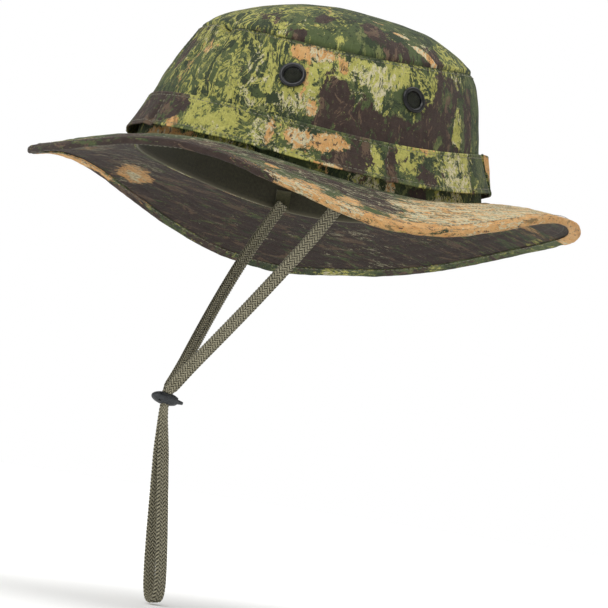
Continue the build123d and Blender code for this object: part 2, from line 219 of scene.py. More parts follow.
def base_sag(angle):
    """How far the base seam hangs below its front."""
    sideways = np.sin(np.radians(angle)) ** 2
    return sideways * (BASE_DIP - BASE_LEAN * np.cos(np.radians(angle))) + BACK_DROP * (1 - frontness(angle))


def wall(angle, share):
    """Outer face of the crown wall: offset out from the base oval, and height."""
    x, _, out_x, _ = base_point(angle)
    lean = reach(angle, TIP_HALF_LENGTH, TIP_HALF_WIDTH, TIP_SHIFT)
    climb = np.maximum(share, 0)
    bulge = FRONT_BULGE * frontness(angle) * np.sin(np.pi * climb)
    bulge = bulge + BACK_BULGE * (1 - frontness(angle)) * np.sin(np.pi * climb**SHOULDER_POWER)
    low = base_sag(angle)
    high = SIDE_DIP * ((x + lean * out_x) / TIP_HALF_WIDTH) ** 2
    return lean * climb + bulge, SEAM_HEIGHT * share - low * (1 - share) - high * share


def inside(angle, share):
    """Outer face of the sweatband."""
    out, z = wall(angle, share)
    return out - CLOTH - SKIN_GAP, z


def band(angle, share):
    """Outer face of the foliage band."""
    sag = BAND_SAG * (np.sin(np.radians(angle)) * frontness(angle)) ** 2
    out, z = wall(angle, (BAND_LOW + BAND_HEIGHT * share - sag) / SEAM_HEIGHT)
    stand = BAND_STAND + BAND_FRONT_STAND * frontness(angle)
    return out + BAND_CLOTH + BAND_TOP_GAP + stand * (1 - share) ** BAND_FLARE, z


def rim_height(turn):
    """Height of the brim's edge, for a direction in radians."""
    return sum(rise * np.cos(n * turn) + tilt * np.sin(n * turn) for n, rise, tilt in RIM_WAVES)


def brim_width(angle):
    """Distance from the base seam to the rim."""
    return reach(angle, BRIM_HALF_LENGTH, BRIM_HALF_WIDTH, 0)


def brim(angle, share):
    """Upper face of the brim."""
    x, y, out_x, out_y = base_point(angle)
    width = brim_width(angle)
    turn = np.arctan2((x + width * out_x) / BRIM_HALF_WIDTH, -(y + width * out_y) / BRIM_HALF_LENGTH)
    start = -base_sag(angle)
    z = start + (rim_height(turn) - start) * share + BRIM_ARCH * np.sin(np.pi * share)
    return BRIM_GAP + (width - BRIM_GAP) * share, z


def place(surface, angle, share):
    """Points of a surface in space, with the grid's shape and one more axis for X, Y and Z."""
    x, y, out_x, out_y = base_point(angle)
    out, z = surface(angle, share)
    return np.stack([x + out * out_x, y + out * out_y, z + 0 * out], -1)


FINE_ANGLES = np.linspace(-180, 540, 2881)
FINE_STEPS = np.diff(place(lambda angle, share: (0 * angle, 0 * angle), FINE_ANGLES, 0), axis=0)
FINE_ARC = np.concatenate([[0], np.cumsum(np.linalg.norm(FINE_STEPS, axis=1))])


def arc(angle):
    """Distance along the base seam from the front, in millimetres."""
    return np.interp(angle, FINE_ANGLES, FINE_ARC) - np.interp(0, FINE_ANGLES, FINE_ARC)


def unit(vectors):
    """Vectors, or rows of vectors, at length 1."""
    return vectors / np.maximum(np.linalg.norm(vectors, axis=-1, keepdims=True), 1e-9)


def ramp(value, low, high):
    """0 below low, 1 above high and smooth between them."""
    t = np.clip((value - low) / (high - low), 0, 1)
    return t * t * (3 - 2 * t)


def bumps(u, v, size, seed):
    """Smooth noise from about -1 to 1 over a grid of flat coordinates."""
    flat = zip(np.ravel(u) / size, np.ravel(v) / size)
    values = [noise.noise(Vector((a, b, seed * 7.3))) for a, b in flat]
    return np.reshape(values, np.shape(u)) * 1.6


def hump(value, width):
    """Smooth bump: 1 at 0, and nearly 0 beyond twice the width."""
    return np.exp(-((value / width) ** 2))


def from_seams(angle):
    """Distance around the hat to the nearer of the front and back seams."""
    around = arc(angle)
    nearest = np.minimum(np.abs(around), np.abs(around - arc(180)))
    return np.minimum(nearest, np.abs(around - arc(360)))


def flat_thread(u, v):
    """Thread coordinates of a plain piece."""
    return {"thread": np.stack([u, v, 0 * u], -1)}


def facing(points):
    """Unit normals of a grid of points, rows up and columns around."""
    return unit(np.cross(np.gradient(points, axis=1), np.gradient(points, axis=0)))


# ---------------------------------------------------------------------------------------------
# Meshes.


def make(name, verts, faces, materials, marks=None, attributes=None):
    """A smooth mesh object from millimetre points, with its material slots and point attributes."""
    mesh = bpy.data.meshes.new(name)
    mesh.from_pydata((np.asarray(verts) * MM).tolist(), [], faces)
    mesh.polygons.foreach_set("use_smooth", [True] * len(mesh.polygons))
    for material in materials:
        mesh.materials.append(material)
    if marks is not None:
        mesh.polygons.foreach_set("material_index", marks)
    for key, values in (attributes or {}).items():
        values = np.asarray(values, np.float32)
        form, field = ("FLOAT_VECTOR", "vector") if values.ndim == 2 else ("FLOAT", "value")
        mesh.attributes.new(key, form, "POINT").data.foreach_set(field, values.ravel())
    mesh.update()
    piece = bpy.data.objects.new(name, mesh)
    bpy.context.scene.collection.objects.link(piece)
    return piece


def rings_along(line, first, second, sides, half_first, half_second):
    """Rings of points around a line, each an oval over two directions across it."""
    turn = np.linspace(0, 2 * np.pi, sides, endpoint=False)[:, None]
    over_first = half_first * np.cos(turn) * first[..., None, :]
    return line[:, None] + over_first + half_second * np.sin(turn) * second[..., None, :]


def tube_faces(start, count, sides):
    """Faces of a closed tube of rings from point start on, with a cap at each end."""
    faces = []
    for r in range(count - 1):
        for s in range(sides):
            a, b = start + r * sides + s, start + r * sides + (s + 1) % sides
            faces.append((a, b, b + sides, a + sides))
    faces.append(tuple(start + s for s in range(sides))[::-1])
    faces.append(tuple(start + (count - 1) * sides + s for s in range(sides)))
    return faces


EDGE_TURN = np.radians([45, 90, 135])
HOLE_MARGIN = 0.2
WORN_WIDTH = 1.3


def shell(name, outer, thickness, materials, fields, closed=False, holes=()):
    """A closed thin cloth. outer is its outer face, rows up and columns around; its edges are rounded.
    fields are grids of point values. holes are (centre, radius) of round holes through it."""
    rows, cols = outer.shape[:2]
    normal = facing(outer)
    if closed:
        normal[:, 0] = normal[:, -1] = unit(normal[:, 0] + normal[:, -1])
        outer, normal = outer[:, :-1], normal[:, :-1]
        fields = {key: grid[:, :-1] for key, grid in fields.items()}
        cols -= 1
    inner = outer - normal * thickness

    gone, rim = np.zeros((rows - 1, cols - 1), bool), {}
    for centre, radius in holes:
        from_centre = np.linalg.norm(outer - centre, axis=-1)
        hit = from_centre < radius + HOLE_MARGIN
        gone |= hit[:-1, :-1] | hit[1:, :-1] | hit[:-1, 1:] | hit[1:, 1:]
    touched, kept = np.zeros((rows, cols), bool), np.zeros((rows, cols), bool)
    for i, j in np.ndindex(gone.shape):
        for a, b in ((i, j), (i + 1, j), (i, j + 1), (i + 1, j + 1)):
            (touched if gone[i, j] else kept)[a, b] = True
    for i, j in zip(*np.nonzero(touched & kept)):
        centre, radius = min(holes, key=lambda hole: np.linalg.norm(outer[i, j] - hole[0]))
        aside = outer[i, j] - centre
        aside = aside - normal[i, j] * (aside @ normal[i, j])
        shift = unit(aside) * radius - aside
        outer[i, j] += shift
        inner[i, j] += shift

    middle = (outer + inner) / 2
    half = thickness / 2
    up = unit(np.gradient(outer, axis=0))

    def turned(row, sign):
        bends = [math.sin(a) * sign * up[row] + math.cos(a) * normal[row] for a in EDGE_TURN]
        points = [middle[row] + half * bend for bend in bends]
        return points if sign > 0 else points[::-1]

    ring = [*outer, *turned(rows - 1, 1), *inner[::-1], *turned(0, -1)]
    source = [*range(rows), *[rows - 1] * 3, *range(rows - 1, -1, -1), *[0] * 3]
    count = len(ring)
    verts = np.stack(ring, 1).reshape(-1, 3)

    def at(column, place_in_ring):
        return (column % cols) * count + place_in_ring % count

    faces, marks = [], []
    for c in range(cols if closed else cols - 1):
        for j in range(count):
            row = min(source[j], source[(j + 1) % count])
            flat = source[j] != source[(j + 1) % count]
            if flat and c < cols - 1 and gone[row, c]:
                continue
            faces.append((at(c, j), at(c + 1, j), at(c + 1, j + 1), at(c, j + 1)))
            marks.append(1 if len(materials) > 1 and rows + 2 <= j < count - 3 else 0)

    def opposite(row):
        return 2 * rows + 2 - row

    for i, j in np.ndindex(gone.shape):
        if not gone[i, j]:
            continue
        sides = (
            ((i, j), (i, j + 1), (i - 1, j)),
            ((i, j + 1), (i + 1, j + 1), (i, j + 1)),
            ((i + 1, j + 1), (i + 1, j), (i + 1, j)),
            ((i + 1, j), (i, j), (i, j - 1)),
        )
        for a, b, beyond in sides:
            if not gone[beyond]:
                near, far = at(a[1], a[0]), at(b[1], b[0])
                faces.append((near, far, at(b[1], opposite(b[0])), at(a[1], opposite(a[0]))))
                marks.append(0)
    if not closed:
        for c in (0, cols - 1):
            corners = [(i, i + 1, opposite(i + 1), opposite(i)) for i in range(rows - 1)]
            capping = [[at(c, corner) for corner in face] for face in corners]
            capping.append([at(c, rows - 1 + k) for k in range(5)])
            capping.append([at(c, count - 4 + k) for k in range(5)])
            faces += [face if c else face[::-1] for face in capping]
            marks += [0] * len(capping)

    attributes = {}
    from_border = np.minimum(np.arange(rows), np.arange(rows)[::-1])
    row_step = np.linalg.norm(np.gradient(outer, axis=0), axis=-1).mean()
    worn = np.exp(-from_border * row_step / WORN_WIDTH)
    attributes["edge"] = np.tile(worn[source], cols)
    for key, grid in fields.items():
        spread = grid[source].swapaxes(0, 1)
        attributes[key] = spread.reshape(-1, 3) if grid.ndim == 3 else spread.reshape(-1)
    piece = make(name, verts, faces, materials, marks, attributes)
    used = np.zeros(len(verts), bool)
    used[[v for face in faces for v in face]] = True
    if not used.all():
        drop_loose(piece, np.nonzero(~used)[0])
    return piece


def drop_loose(piece, loose):
    """Delete the points that no face uses."""
    import bmesh

    work = bmesh.new()
    work.from_mesh(piece.data)
    work.verts.ensure_lookup_table()
    bmesh.ops.delete(work, geom=[work.verts[int(i)] for i in loose], context="VERTS")
    work.to_mesh(piece.data)
    work.free()


# ---------------------------------------------------------------------------------------------
# Materials.


def shade(code):
    """A colour as Blender wants it, from the usual six hex digits."""
    parts = [int(code[i : i + 2], 16) / 255 for i in (0, 2, 4)]
    return [c / 12.92 if c <= 0.04045 else ((c + 0.055) / 1.055) ** 2.4 for c in parts] + [1]


class Paint:
    """A node material being put together around one Principled shader."""

    def __init__(self, name, **sockets):
        self.material = bpy.data.materials.new(name)
        self.material.use_nodes = True
        self.tree = self.material.node_tree
        self.shader = self.tree.nodes["Principled BSDF"]
        for key, value in sockets.items():
            self.shader.inputs[key.replace("_", " ")].default_value = value

    def node(self, kind, inputs=(), out=0, **settings):
        made = self.tree.nodes.new("ShaderNode" + kind)
        for key, value in settings.items():
            setattr(made, key, value)
        for key, value in dict(inputs).items():
            self.plug(value, made.inputs[key])
        return made.outputs[out]

    def plug(self, value, socket):
        if isinstance(value, bpy.types.NodeSocket):
            self.tree.links.new(value, socket)
        else:
            socket.default_value = value

    def math(self, operation, a, b=0.0, c=0.0):
        return self.node("Math", {0: a, 1: b, 2: c}, operation=operation)

    def times(self, a, b):
        return self.math("MULTIPLY", a, b)

    def scaled(self, a, by, plus):
        return self.math("MULTIPLY_ADD", a, by, plus)

    def attribute(self, name, out="Fac"):
        return self.node("Attribute", out=out, attribute_name=name, attribute_type="GEOMETRY")

    def scatter(self, where, size, detail=6.0, roughness=0.6, bend=0.0, shift=0.0):
        """Noise from 0 to 1 with features of about this size, in the units of where."""
        moved = self.node("VectorMath", {0: where, 1: (shift, shift * 1.7, shift * 2.3)}, operation="ADD")
        inputs = {"Vector": moved, "Scale": 1 / size, "Detail": detail, "Roughness": roughness}
        return self.node("TexNoise", {**inputs, "Distortion": bend})

    def step(self, value, low, high):
        return self.node("MapRange", {"Value": value, "From Min": low, "From Max": high})

    def mix(self, share, a, b, blend="MIX"):
        inputs = {"Factor": share, "A": a, "B": b}
        made = self.tree.nodes.new("ShaderNodeMix")
        made.data_type = "RGBA"
        made.blend_type = blend
        for socket in made.inputs:
            if socket.enabled and socket.name in inputs:
                self.plug(inputs[socket.name], socket)
        return next(socket for socket in made.outputs if socket.enabled)

    def bump(self, height, distance, strength=1.0, over=None):
        inputs = {"Height": height, "Distance": distance, "Strength": strength}
        if over is not None:
            inputs["Normal"] = over
        return self.node("Bump", inputs)

    def finish(self, colour=None, roughness=None, normal=None):
        for key, value in (("Base Color", colour), ("Roughness", roughness), ("Normal", normal)):
            if value is not None:
                self.plug(value, self.shader.inputs[key])
        return self.material


def weave(paint, thread, pitch):
    """Height of a plain weave, about -1 to 1, over thread coordinates in millimetres."""
    split = paint.node("SeparateXYZ", {0: thread})
    lines = []
    for axis in ("X", "Y"):
        along = split.node.outputs[axis]
        lines.append(paint.math("SINE", paint.times(along, 2 * math.pi / pitch)))
    return paint.times(lines[0], lines[1]), split.node.outputs["X"], split.node.outputs["Y"]


MOSS_DARK = "35402a"
MOSS = "515d38"
MOSS_LIGHT = "757a4a"
LIME_DARK = "a3a04e"
LIME = "cbc76f"
TAN_DARK = "d09553"
TAN = "e3ba80"
TAN_SHADE = "8d744a"
PALE = "d6cda8"
BROWN_DARK = "372b27"
BROWN = "4a3b34"
BROWN_LIGHT = "6b5746"
RIPSTOP = 5.0
RAGGED = 3.4
FRAYED = 1.5
YARN_PITCH = 0.55


def camo_cloth(name, dim=1.0, wash=0.0):
    """Printed ripstop cotton. Its print takes where each colour lies from the piece's attributes."""
    paint = Paint(name, Specular_IOR_Level=0.22, Sheen_Weight=0.06, Sheen_Roughness=0.5)
    where = paint.attribute("print", "Vector")
    thread = paint.attribute("thread", "Vector")

    def region(key, size, bend, shift):
        """Where one colour of the print lies, from its attribute, with a ragged border."""
        ragged = paint.scaled(paint.scatter(where, size, 10.0, 0.7, bend, shift), RAGGED, -RAGGED / 2)
        frayed = paint.scaled(paint.scatter(where, 1.9, 4.0, 0.75, 0.2, shift + 3), FRAYED, -FRAYED / 2)
        field = paint.math("ADD", paint.attribute(key), ragged)
        return paint.step(paint.math("ADD", field, frayed), -0.04, 0.05)

    def spots(size, low, shift, bend=0.3):
        return paint.step(paint.scatter(where, size, 6.0, 0.75, bend, shift), low, low + 0.025)

    def strokes(size, width, shift, bend=1.6):
        """Thin curling strokes along the level lines of noise."""
        from_level = paint.math("SUBTRACT", paint.scatter(where, size, 7.0, 0.62, bend, shift), 0.5)
        return paint.step(paint.math("ABSOLUTE", from_level), width, width * 0.45)

    moss = paint.mix(spots(13, 0.475, 3.0, 0.8), shade(MOSS_DARK), shade(MOSS))
    moss = paint.mix(spots(5, 0.565, 7.0), moss, shade(MOSS_LIGHT))
    moss = paint.mix(spots(3.4, 0.6, 8.0), moss, shade(MOSS_DARK))
    tone = paint.step(paint.scatter(where, 4, 6.0, 0.72, 0.4, 9.0), 0.32, 0.68)

    lime = paint.mix(tone, shade(LIME_DARK), shade(LIME))
    tan = paint.mix(tone, shade(TAN_DARK), shade(TAN))
    dark = paint.mix(tone, shade(BROWN_DARK), shade(BROWN))
    pale_mask = region("pale", 6, 1.4, 41.0)
    lime = paint.mix(paint.times(pale_mask, strokes(6, 0.07, 51.0)), lime, shade(PALE))
    tan = paint.mix(paint.times(pale_mask, strokes(5, 0.075, 57.0, 0.8)), tan, shade(PALE))

    lime = paint.mix(spots(7, 0.545, 19.0, 0.9), lime, moss)
    lime = paint.mix(spots(2.6, 0.57, 17.0), lime, shade(MOSS))
    lime = paint.mix(spots(1.9, 0.625, 18.0), lime, shade(BROWN))
    tan = paint.mix(spots(6, 0.575, 27.0, 0.7), tan, shade(TAN_SHADE))
    tan = paint.mix(spots(2.4, 0.58, 24.0), tan, shade(BROWN))
    dark = paint.mix(spots(9, 0.55, 23.0, 0.8), dark, shade(BROWN_LIGHT))
    dark = paint.mix(spots(7, 0.57, 33.0, 0.8), dark, moss)
    dark = paint.mix(spots(2.2, 0.62, 25.0), dark, shade(MOSS_LIGHT))

    curls = paint.times(strokes(13, 0.045, 5.5, 2.2), region("curl", 9, 0.5, 61.0))
    colour = paint.mix(curls, moss, lime)
    colour = paint.mix(region("lime", 10, 1.1, 5.0), colour, lime)
    colour = paint.mix(region("tan", 11, 0.6, 11.0), colour, tan)
    colour = paint.mix(region("dark", 11, 0.8, 29.0), colour, dark)
    grain = paint.times(strokes(8, 0.02, 71.0, 0.3), region("grain", 8, 0.5, 73.0))
    colour = paint.mix(grain, colour, paint.mix(tone, shade(MOSS_DARK), shade(PALE)))

    height, across, upward = weave(paint, thread, YARN_PITCH)
    grid = []
    for direction in (across, upward):
        near = paint.math("PINGPONG", direction, RIPSTOP / 2)
        grid.append(paint.step(near, 0.34, 0.16))
    rib = paint.math("MAXIMUM", grid[0], grid[1])
    fuzz = paint.scatter(thread, 0.8, 3.0, 0.7, 0.0, 2.0)
    # dim scales the cloth's brightness down; at 0.72 under the brim it is painted shade.
    light = paint.scaled(fuzz, 0.7 * dim, 0.65 * dim)
    light = paint.scaled(rib, 0.1 * dim, light)
    light = paint.scaled(height, 0.07 * dim, light)
    worn = paint.times(paint.attribute("edge"), paint.step(paint.scatter(thread, 2.5, 4.0, 0.7), 0.45, 0.7))
    colour = paint.mix(paint.times(worn, 0.3), colour, shade("8a846a"))
    if wash:
        colour = paint.mix(wash, colour, shade("6d6b50"))
    colour = paint.mix(1.0, colour, paint.node("CombineXYZ", {0: light, 1: light, 2: light}), "MULTIPLY")

    relief = paint.scaled(rib, 0.8, paint.scaled(fuzz, 0.8, height))
    fine = paint.bump(relief, 0.00014)
    soft_relief = paint.bump(paint.scatter(thread, 9, 4.0, 0.55, 0.3, 6.0), 0.002, 0.6, fine)
    roughness = paint.scaled(fuzz, 0.16, 0.74)
    return paint.finish(colour, roughness, soft_relief)


def tape_cloth(name, low, high, pitch=0.9):
    """Plain woven cloth in two near colours, for the sweatband, tabs and label."""
    paint = Paint(name, Specular_IOR_Level=0.2, Sheen_Weight=0.1)
    thread = paint.attribute("thread", "Vector")
    height, _, _ = weave(paint, thread, pitch)
    grain = paint.scatter(thread, 1.6, 5.0, 0.7)
    tone = paint.scaled(height, 0.22, grain)
    colour = paint.mix(paint.step(tone, 0.25, 0.75), shade(low), shade(high))
    colour = paint.mix(paint.times(paint.attribute("edge"), 0.25), colour, shade("a39d84"))
    return paint.finish(colour, paint.scaled(grain, 0.15, 0.78), paint.bump(height, 0.00018))


def thread_paint(name, low, high):
    """Twisted sewing thread: fine slanted lines over each stitch."""
    paint = Paint(name, Specular_IOR_Level=0.35, Sheen_Weight=0.2)
    thread = paint.attribute("thread", "Vector")
    split = paint.node("SeparateXYZ", {0: thread}).node
    slanted = paint.scaled(split.outputs["X"], 9.0, split.outputs["Y"])
    twist = paint.math("SINE", slanted)
    tone = paint.scatter(thread, 3.0, 3.0, 0.6)
    mixed = paint.scaled(twist, 0.2, tone)
    colour = paint.mix(paint.step(mixed, 0.2, 0.8), shade(low), shade(high))
    return paint.finish(colour, paint.scaled(tone, 0.2, 0.55), paint.bump(twist, 0.00006))


def cord_paint():
    """Olive braid: each carrier is a few parallel yarns, with a painted highlight on its crown and painted
    shade at its sides and where it passes under the others.
    """
    paint = Paint("olive_braid", Specular_IOR_Level=0.3, Sheen_Weight=0.15)
    thread = paint.attribute("thread", "Vector")
    split = paint.node("SeparateXYZ", {0: thread}).node
    across = split.outputs["Y"]
    yarns = paint.math("SINE", paint.times(across, 3.5 * math.pi))
    # Painted highlight on each carrier's crown, painted shade at its sides.
    crown = paint.step(paint.math("ABSOLUTE", across), 0.95, 0.25)
    tone = paint.scatter(thread, 1.8, 5.0, 0.7)
    # Painted light where a carrier passes over, painted shade where it passes under.
    painted_light_over = paint.step(paint.attribute("over"), -0.7, 0.7)
    mixed = paint.scaled(paint.times(crown, painted_light_over), 0.75, tone)
    mixed = paint.scaled(yarns, 0.1, mixed)
    colour = paint.mix(paint.step(mixed, 0.4, 1.25), shade("34321f"), shade("b5ae92"))
    height = paint.scaled(tone, 0.5, yarns)
    return paint.finish(colour, paint.scaled(tone, 0.2, 0.6), paint.bump(height, 0.00009))


def spotted(name, low, high, roughness, size, depth, **sockets):
    """Moulded or coated surface over object coordinates: mottled colour, gloss and fine relief."""
    paint = Paint(name, **sockets)
    where = paint.node("TexCoord", out="Object")
    tone = paint.scatter(where, size, 5.0, 0.65)
    fine = paint.scatter(where, size / 6, 4.0, 0.7, 0.0, 3.0)
    colour = paint.mix(paint.step(tone, 0.35, 0.65), shade(low), shade(high))
    gloss = paint.scaled(fine, 0.22, roughness - 0.11)
    return paint.finish(colour, gloss, paint.bump(paint.scaled(tone, 0.6, fine), depth))


CAMO = camo_cloth("camo_ripstop")
# The brim's underside is the same cloth dimmed to 0.72: painted shade under the brim.
CAMO_UNDER_PAINTED_SHADE = camo_cloth("camo_ripstop_underside_painted_shade", dim=0.72)
REVERSE = camo_cloth("camo_ripstop_reverse", dim=0.8, wash=0.6)
SWEAT_TAPE = tape_cloth("sweatband_tape", "2c2a22", "4a4736")
TAB_TAPE = tape_cloth("strap_tab_tape", "33321f", "5c5a40")
LABEL = tape_cloth("blank_label", "c9c4b2", "e6e2d4", 0.5)
NONWOVEN = spotted("interfacing_felt", "cfc9b8", "e2dccb", 0.85, 0.003, 0.0001)
THREAD = thread_paint("olive_thread", "4d4b38", "a5a28a")
BRIM_THREAD = thread_paint("dark_olive_thread", "2c2b20", "55533f")
PAINTED_SHADE_CORE = spotted("cord_core_painted_shade", "1f1d13", "33301f", 0.85, 0.001, 0.00005)
BRAID = cord_paint()
ENAMEL = spotted(
    "black_enamel", "030303", "08090a", 0.3, 0.004, 0.00001, Specular_IOR_Level=0.3, Coat_Weight=0.2
)
SCREEN_WIRE = spotted("screen_wire", "1b1d18", "34372c", 0.45, 0.002, 0.00002, Metallic=0.5)
PLASTIC = spotted("lock_plastic_grey", "2a2c2e", "3a3d40", 0.5, 0.002, 0.00003, Specular_IOR_Level=0.45)
PLUNGER_PLASTIC = spotted("plunger_plastic_grey", "2f3234", "44484b", 0.42, 0.002, 0.00003)
STEEL = spotted("spring_steel_wire", "8b8d8e", "b4b6b7", 0.3, 0.001, 0.00001, Metallic=1.0)


# ---------------------------------------------------------------------------------------------
# The print. Each colour's field says where it lies: above 0 inside it, below 0 outside, and the
# cloth's own noise makes the borders ragged. Patches are (place along, place up, half length,
# half height) over the panel's flat coordinates in millimetres.


ROLL = 0.42
ROLL_SIZE = 24.0
PATCH_STRENGTH = 1.5


def colour_field(u, v, patches, seed, ground, roll=ROLL):
    """Soft patches over a ground of low noise."""
    field = ground + roll * bumps(u, v, ROLL_SIZE, seed)
    for at_u, at_v, half_u, half_v in patches:
        field = field + PATCH_STRENGTH * np.exp(-(((u - at_u) / half_u) ** 2) - ((v - at_v) / half_v) ** 2)
    return field


GROUNDS = {"lime": -0.35, "tan": -0.72, "dark": -0.65, "pale": -0.35, "curl": -0.3, "grain": -0.9}


def print_fields(u, v, patches, seed, stretch=(1.0, 1.0), grounds=None, fine=1.0):
    """The attributes that the print and the weave read, for one panel."""
    grounds = {**GROUNDS, **(grounds or {})}
    flat_u, flat_v = u / stretch[0], v / stretch[1]

    def field(key, *settings):
        return colour_field(flat_u, flat_v, squeezed(patches.get(key, ()), stretch), *settings)

    fields = {key: field(key, seed + n, ground) for n, (key, ground) in enumerate(grounds.items())}
    fields["dark"] = fields["dark"] - field("tan", seed, 0, 0)
    fields["print"] = np.stack([flat_u * fine, flat_v * fine, 0 * u + seed * 31.0], -1)
    fields["thread"] = np.stack([u, v, 0 * u + seed * 5.0], -1)
    return fields


def squeezed(patches, stretch):
    """Patches in the stretched coordinates of a streaky panel."""
    return [(a / stretch[0], b / stretch[1], c / stretch[0], d / stretch[1]) for a, b, c, d in patches]


def by_angle(patches, height=SEAM_HEIGHT, turn=0):
    """Patches given by angle and share, turned into millimetres along and up the cloth."""
    return {
        key: [(float(arc(angle + turn)), share * height, *halves) for angle, share, *halves in some]
        for key, some in patches.items()
    }


WALL_PATCHES = {
    "dark": [
        (84, 0.6, 9, 13), (94, 0.42, 22, 10), (112, 0.42, 22, 9), (126, 0.36, 13, 8), (128, 0.76, 11, 12),
        (142, 0.6, 6, 20), (80, 0.36, 7, 7), (120, 0.6, 9, 9), (8, 0.7, 5, 9),
    ],
    "lime": [
        (91, 0.86, 13, 7), (97, 0.66, 5, 11), (103, 0.88, 9, 5), (75, 0.74, 8, 7), (70, 0.5, 10, 8),
        (133, 0.5, 4, 13), (60, 0.55, 5, 6), (57, 0.3, 14, 3), (47, 0.42, 6, 4), (80, 0.75, 5, 6),
    ],
    "curl": [(35, 0.6, 34, 34), (55, 0.7, 24, 30), (120, 0.9, 20, 10)],
    "tan": [(69, 0.9, 8, 4), (79, 0.93, 10, 4), (85, 0.84, 4, 4), (76, 0.47, 3, 5)],
    "pale": [(70, 0.46, 10, 6), (54, 0.7, 4, 9), (75, 0.92, 6, 4), (95, 0.75, 9, 9)],
}
LOW_WALL_PATCHES = {
    "tan": [(20, 0.0, 34, 7), (105, 0.03, 5, 9)],
    "lime": [(96, 0.0, 14, 8), (128, 0.0, 14, 8), (52, 0.02, 14, 5)],
    "dark": [(114, 0.0, 10, 7)],
    "pale": [(96, 0.0, 16, 7), (128, 0.0, 12, 6)],
}
for kind, low_patches in LOW_WALL_PATCHES.items():
    WALL_PATCHES[kind] = WALL_PATCHES[kind] + low_patches

TIP_PATCHES = {
    "dark": [
        (64, -34, 5, 5), (56, -20, 5, 6), (62, 8, 6, 5), (68, 24, 3.5, 6), (62, 47, 4, 8), (20, 30, 10, 8),
    ],
    "lime": [(52, 62, 5, 8), (58, -42, 7, 5)],
    "curl": [(44, -52, 22, 22), (20, -50, 26, 20), (56, 56, 9, 14)],
    "tan": [(50, 14, 1.4, 6), (57, 26, 1.4, 9), (62, 37, 1.5, 9), (62, 46, 1.6, 6)],
    "pale": [(56, 24, 7, 14), (62, 40, 6, 12)],
}

BAND_PATCHES = {
    "dark": [
        (12, 0.5, 24, 20), (26, 0.7, 9, 10), (84, 0.25, 11, 6), (92, 0.4, 6, 12), (117, 0.3, 11, 8),
        (103, 0.35, 3, 12),
    ],
    "lime": [
        (38, 0.5, 9, 8), (50, 0.5, 6, 8), (61, 0.4, 4, 8), (73, 0.05, 12, 3), (97, 0.5, 6, 10),
        (108, 0.6, 8, 8), (116, 0.95, 9, 2), (130, 0.4, 11, 10), (137, 0.6, 6, 11),
    ],
    "tan": [(74, 0.6, 13, 7), (83, 0.7, 8, 5), (64, 0.5, 3, 9), (82, -0.1, 12, 2.5), (30, 0.1, 4, 3)],
    "pale": [(74, 0.5, 5, 6), (130, 0.4, 12, 11), (61, 0.5, 5, 8)],
    "curl": [(55, 0.5, 14, 12), (130, 0.5, 16, 14)],
}

BRIM_PATCHES = {
    "dark": [
        (112, -20, 9, 36), (120, 12, 9, 18), (98, 16, 8, 12), (70, -120, 22, 8), (100, -80, 7, 18),
        (40, 150, 8, 10),
    ],
    "tan": [
        (114, 66, 26, 38), (94, 104, 40, 28), (50, 132, 50, 26), (118, -50, 2.5, 5), (126, -30, 2.5, 6),
        (110, 30, 4, 11), (129, -8, 2.5, 6),
    ],
    "lime": [(20, -150, 26, 8), (98, 48, 3, 10), (112, 92, 3, 8)],
    "pale": [(112, 70, 24, 44), (96, 96, 30, 28), (122, 34, 8, 18), (50, 132, 40, 20)],
    "grain": [(112, 66, 30, 44), (94, 104, 40, 30), (100, -40, 40, 60)],
}
UNDER_PATCHES = {
    "dark": [(90, 0, 60, 120), (20, -110, 60, 40)],
    "tan": [(44, -118, 26, 14), (88, -84, 12, 12), (98, -80, 8, 10)],
    "lime": [(20, 150, 20, 3)],
    "pale": [(96, -82, 7, 6)],
    "grain": [(88, -84, 16, 14), (44, -118, 22, 10)],
}


# ---------------------------------------------------------------------------------------------
# Crown.


def vent_centre(name):
    """Point of the crown's outer face in the middle of a vent, and the direction straight out."""
    angle, share = VENTS[name]
    spot = place(wall, angle, share)
    across = place(wall, angle + 1, share) - place(wall, angle - 1, share)
    upward = place(wall, angle, share + 0.02) - place(wall, angle, share - 0.02)
    return spot, unit(np.cross(across, upward)), unit(across)


# Soft folds of the wall: angle, share, length, width, slant in degrees, and height.
FOLDS = (
    (33, 0.93, 12, 3.2, -60, -1.7),
    (29, 0.90, 10, 3.5, -60, 1.0),
    (22, 0.74, 16, 3.5, 55, -1.2),
    (16, 0.62, 16, 4.5, 60, 0.9),
    (46, 0.80, 18, 4.0, 70, -0.8),
    (60, 0.90, 12, 4.0, 80, -0.6),
    (131, 0.42, 10, 2.2, 85, -1.0),
    (137, 0.50, 14, 4.0, 80, 0.7),
    (152, 0.72, 18, 4.0, 75, -0.8),
    (205, 0.80, 16, 4.0, 100, -0.8),
    (236, 0.45, 14, 4.0, 110, -0.7),
    (312, 0.85, 14, 4.0, 110, -0.9),
    (330, 0.70, 16, 4.0, 120, 0.8),
)


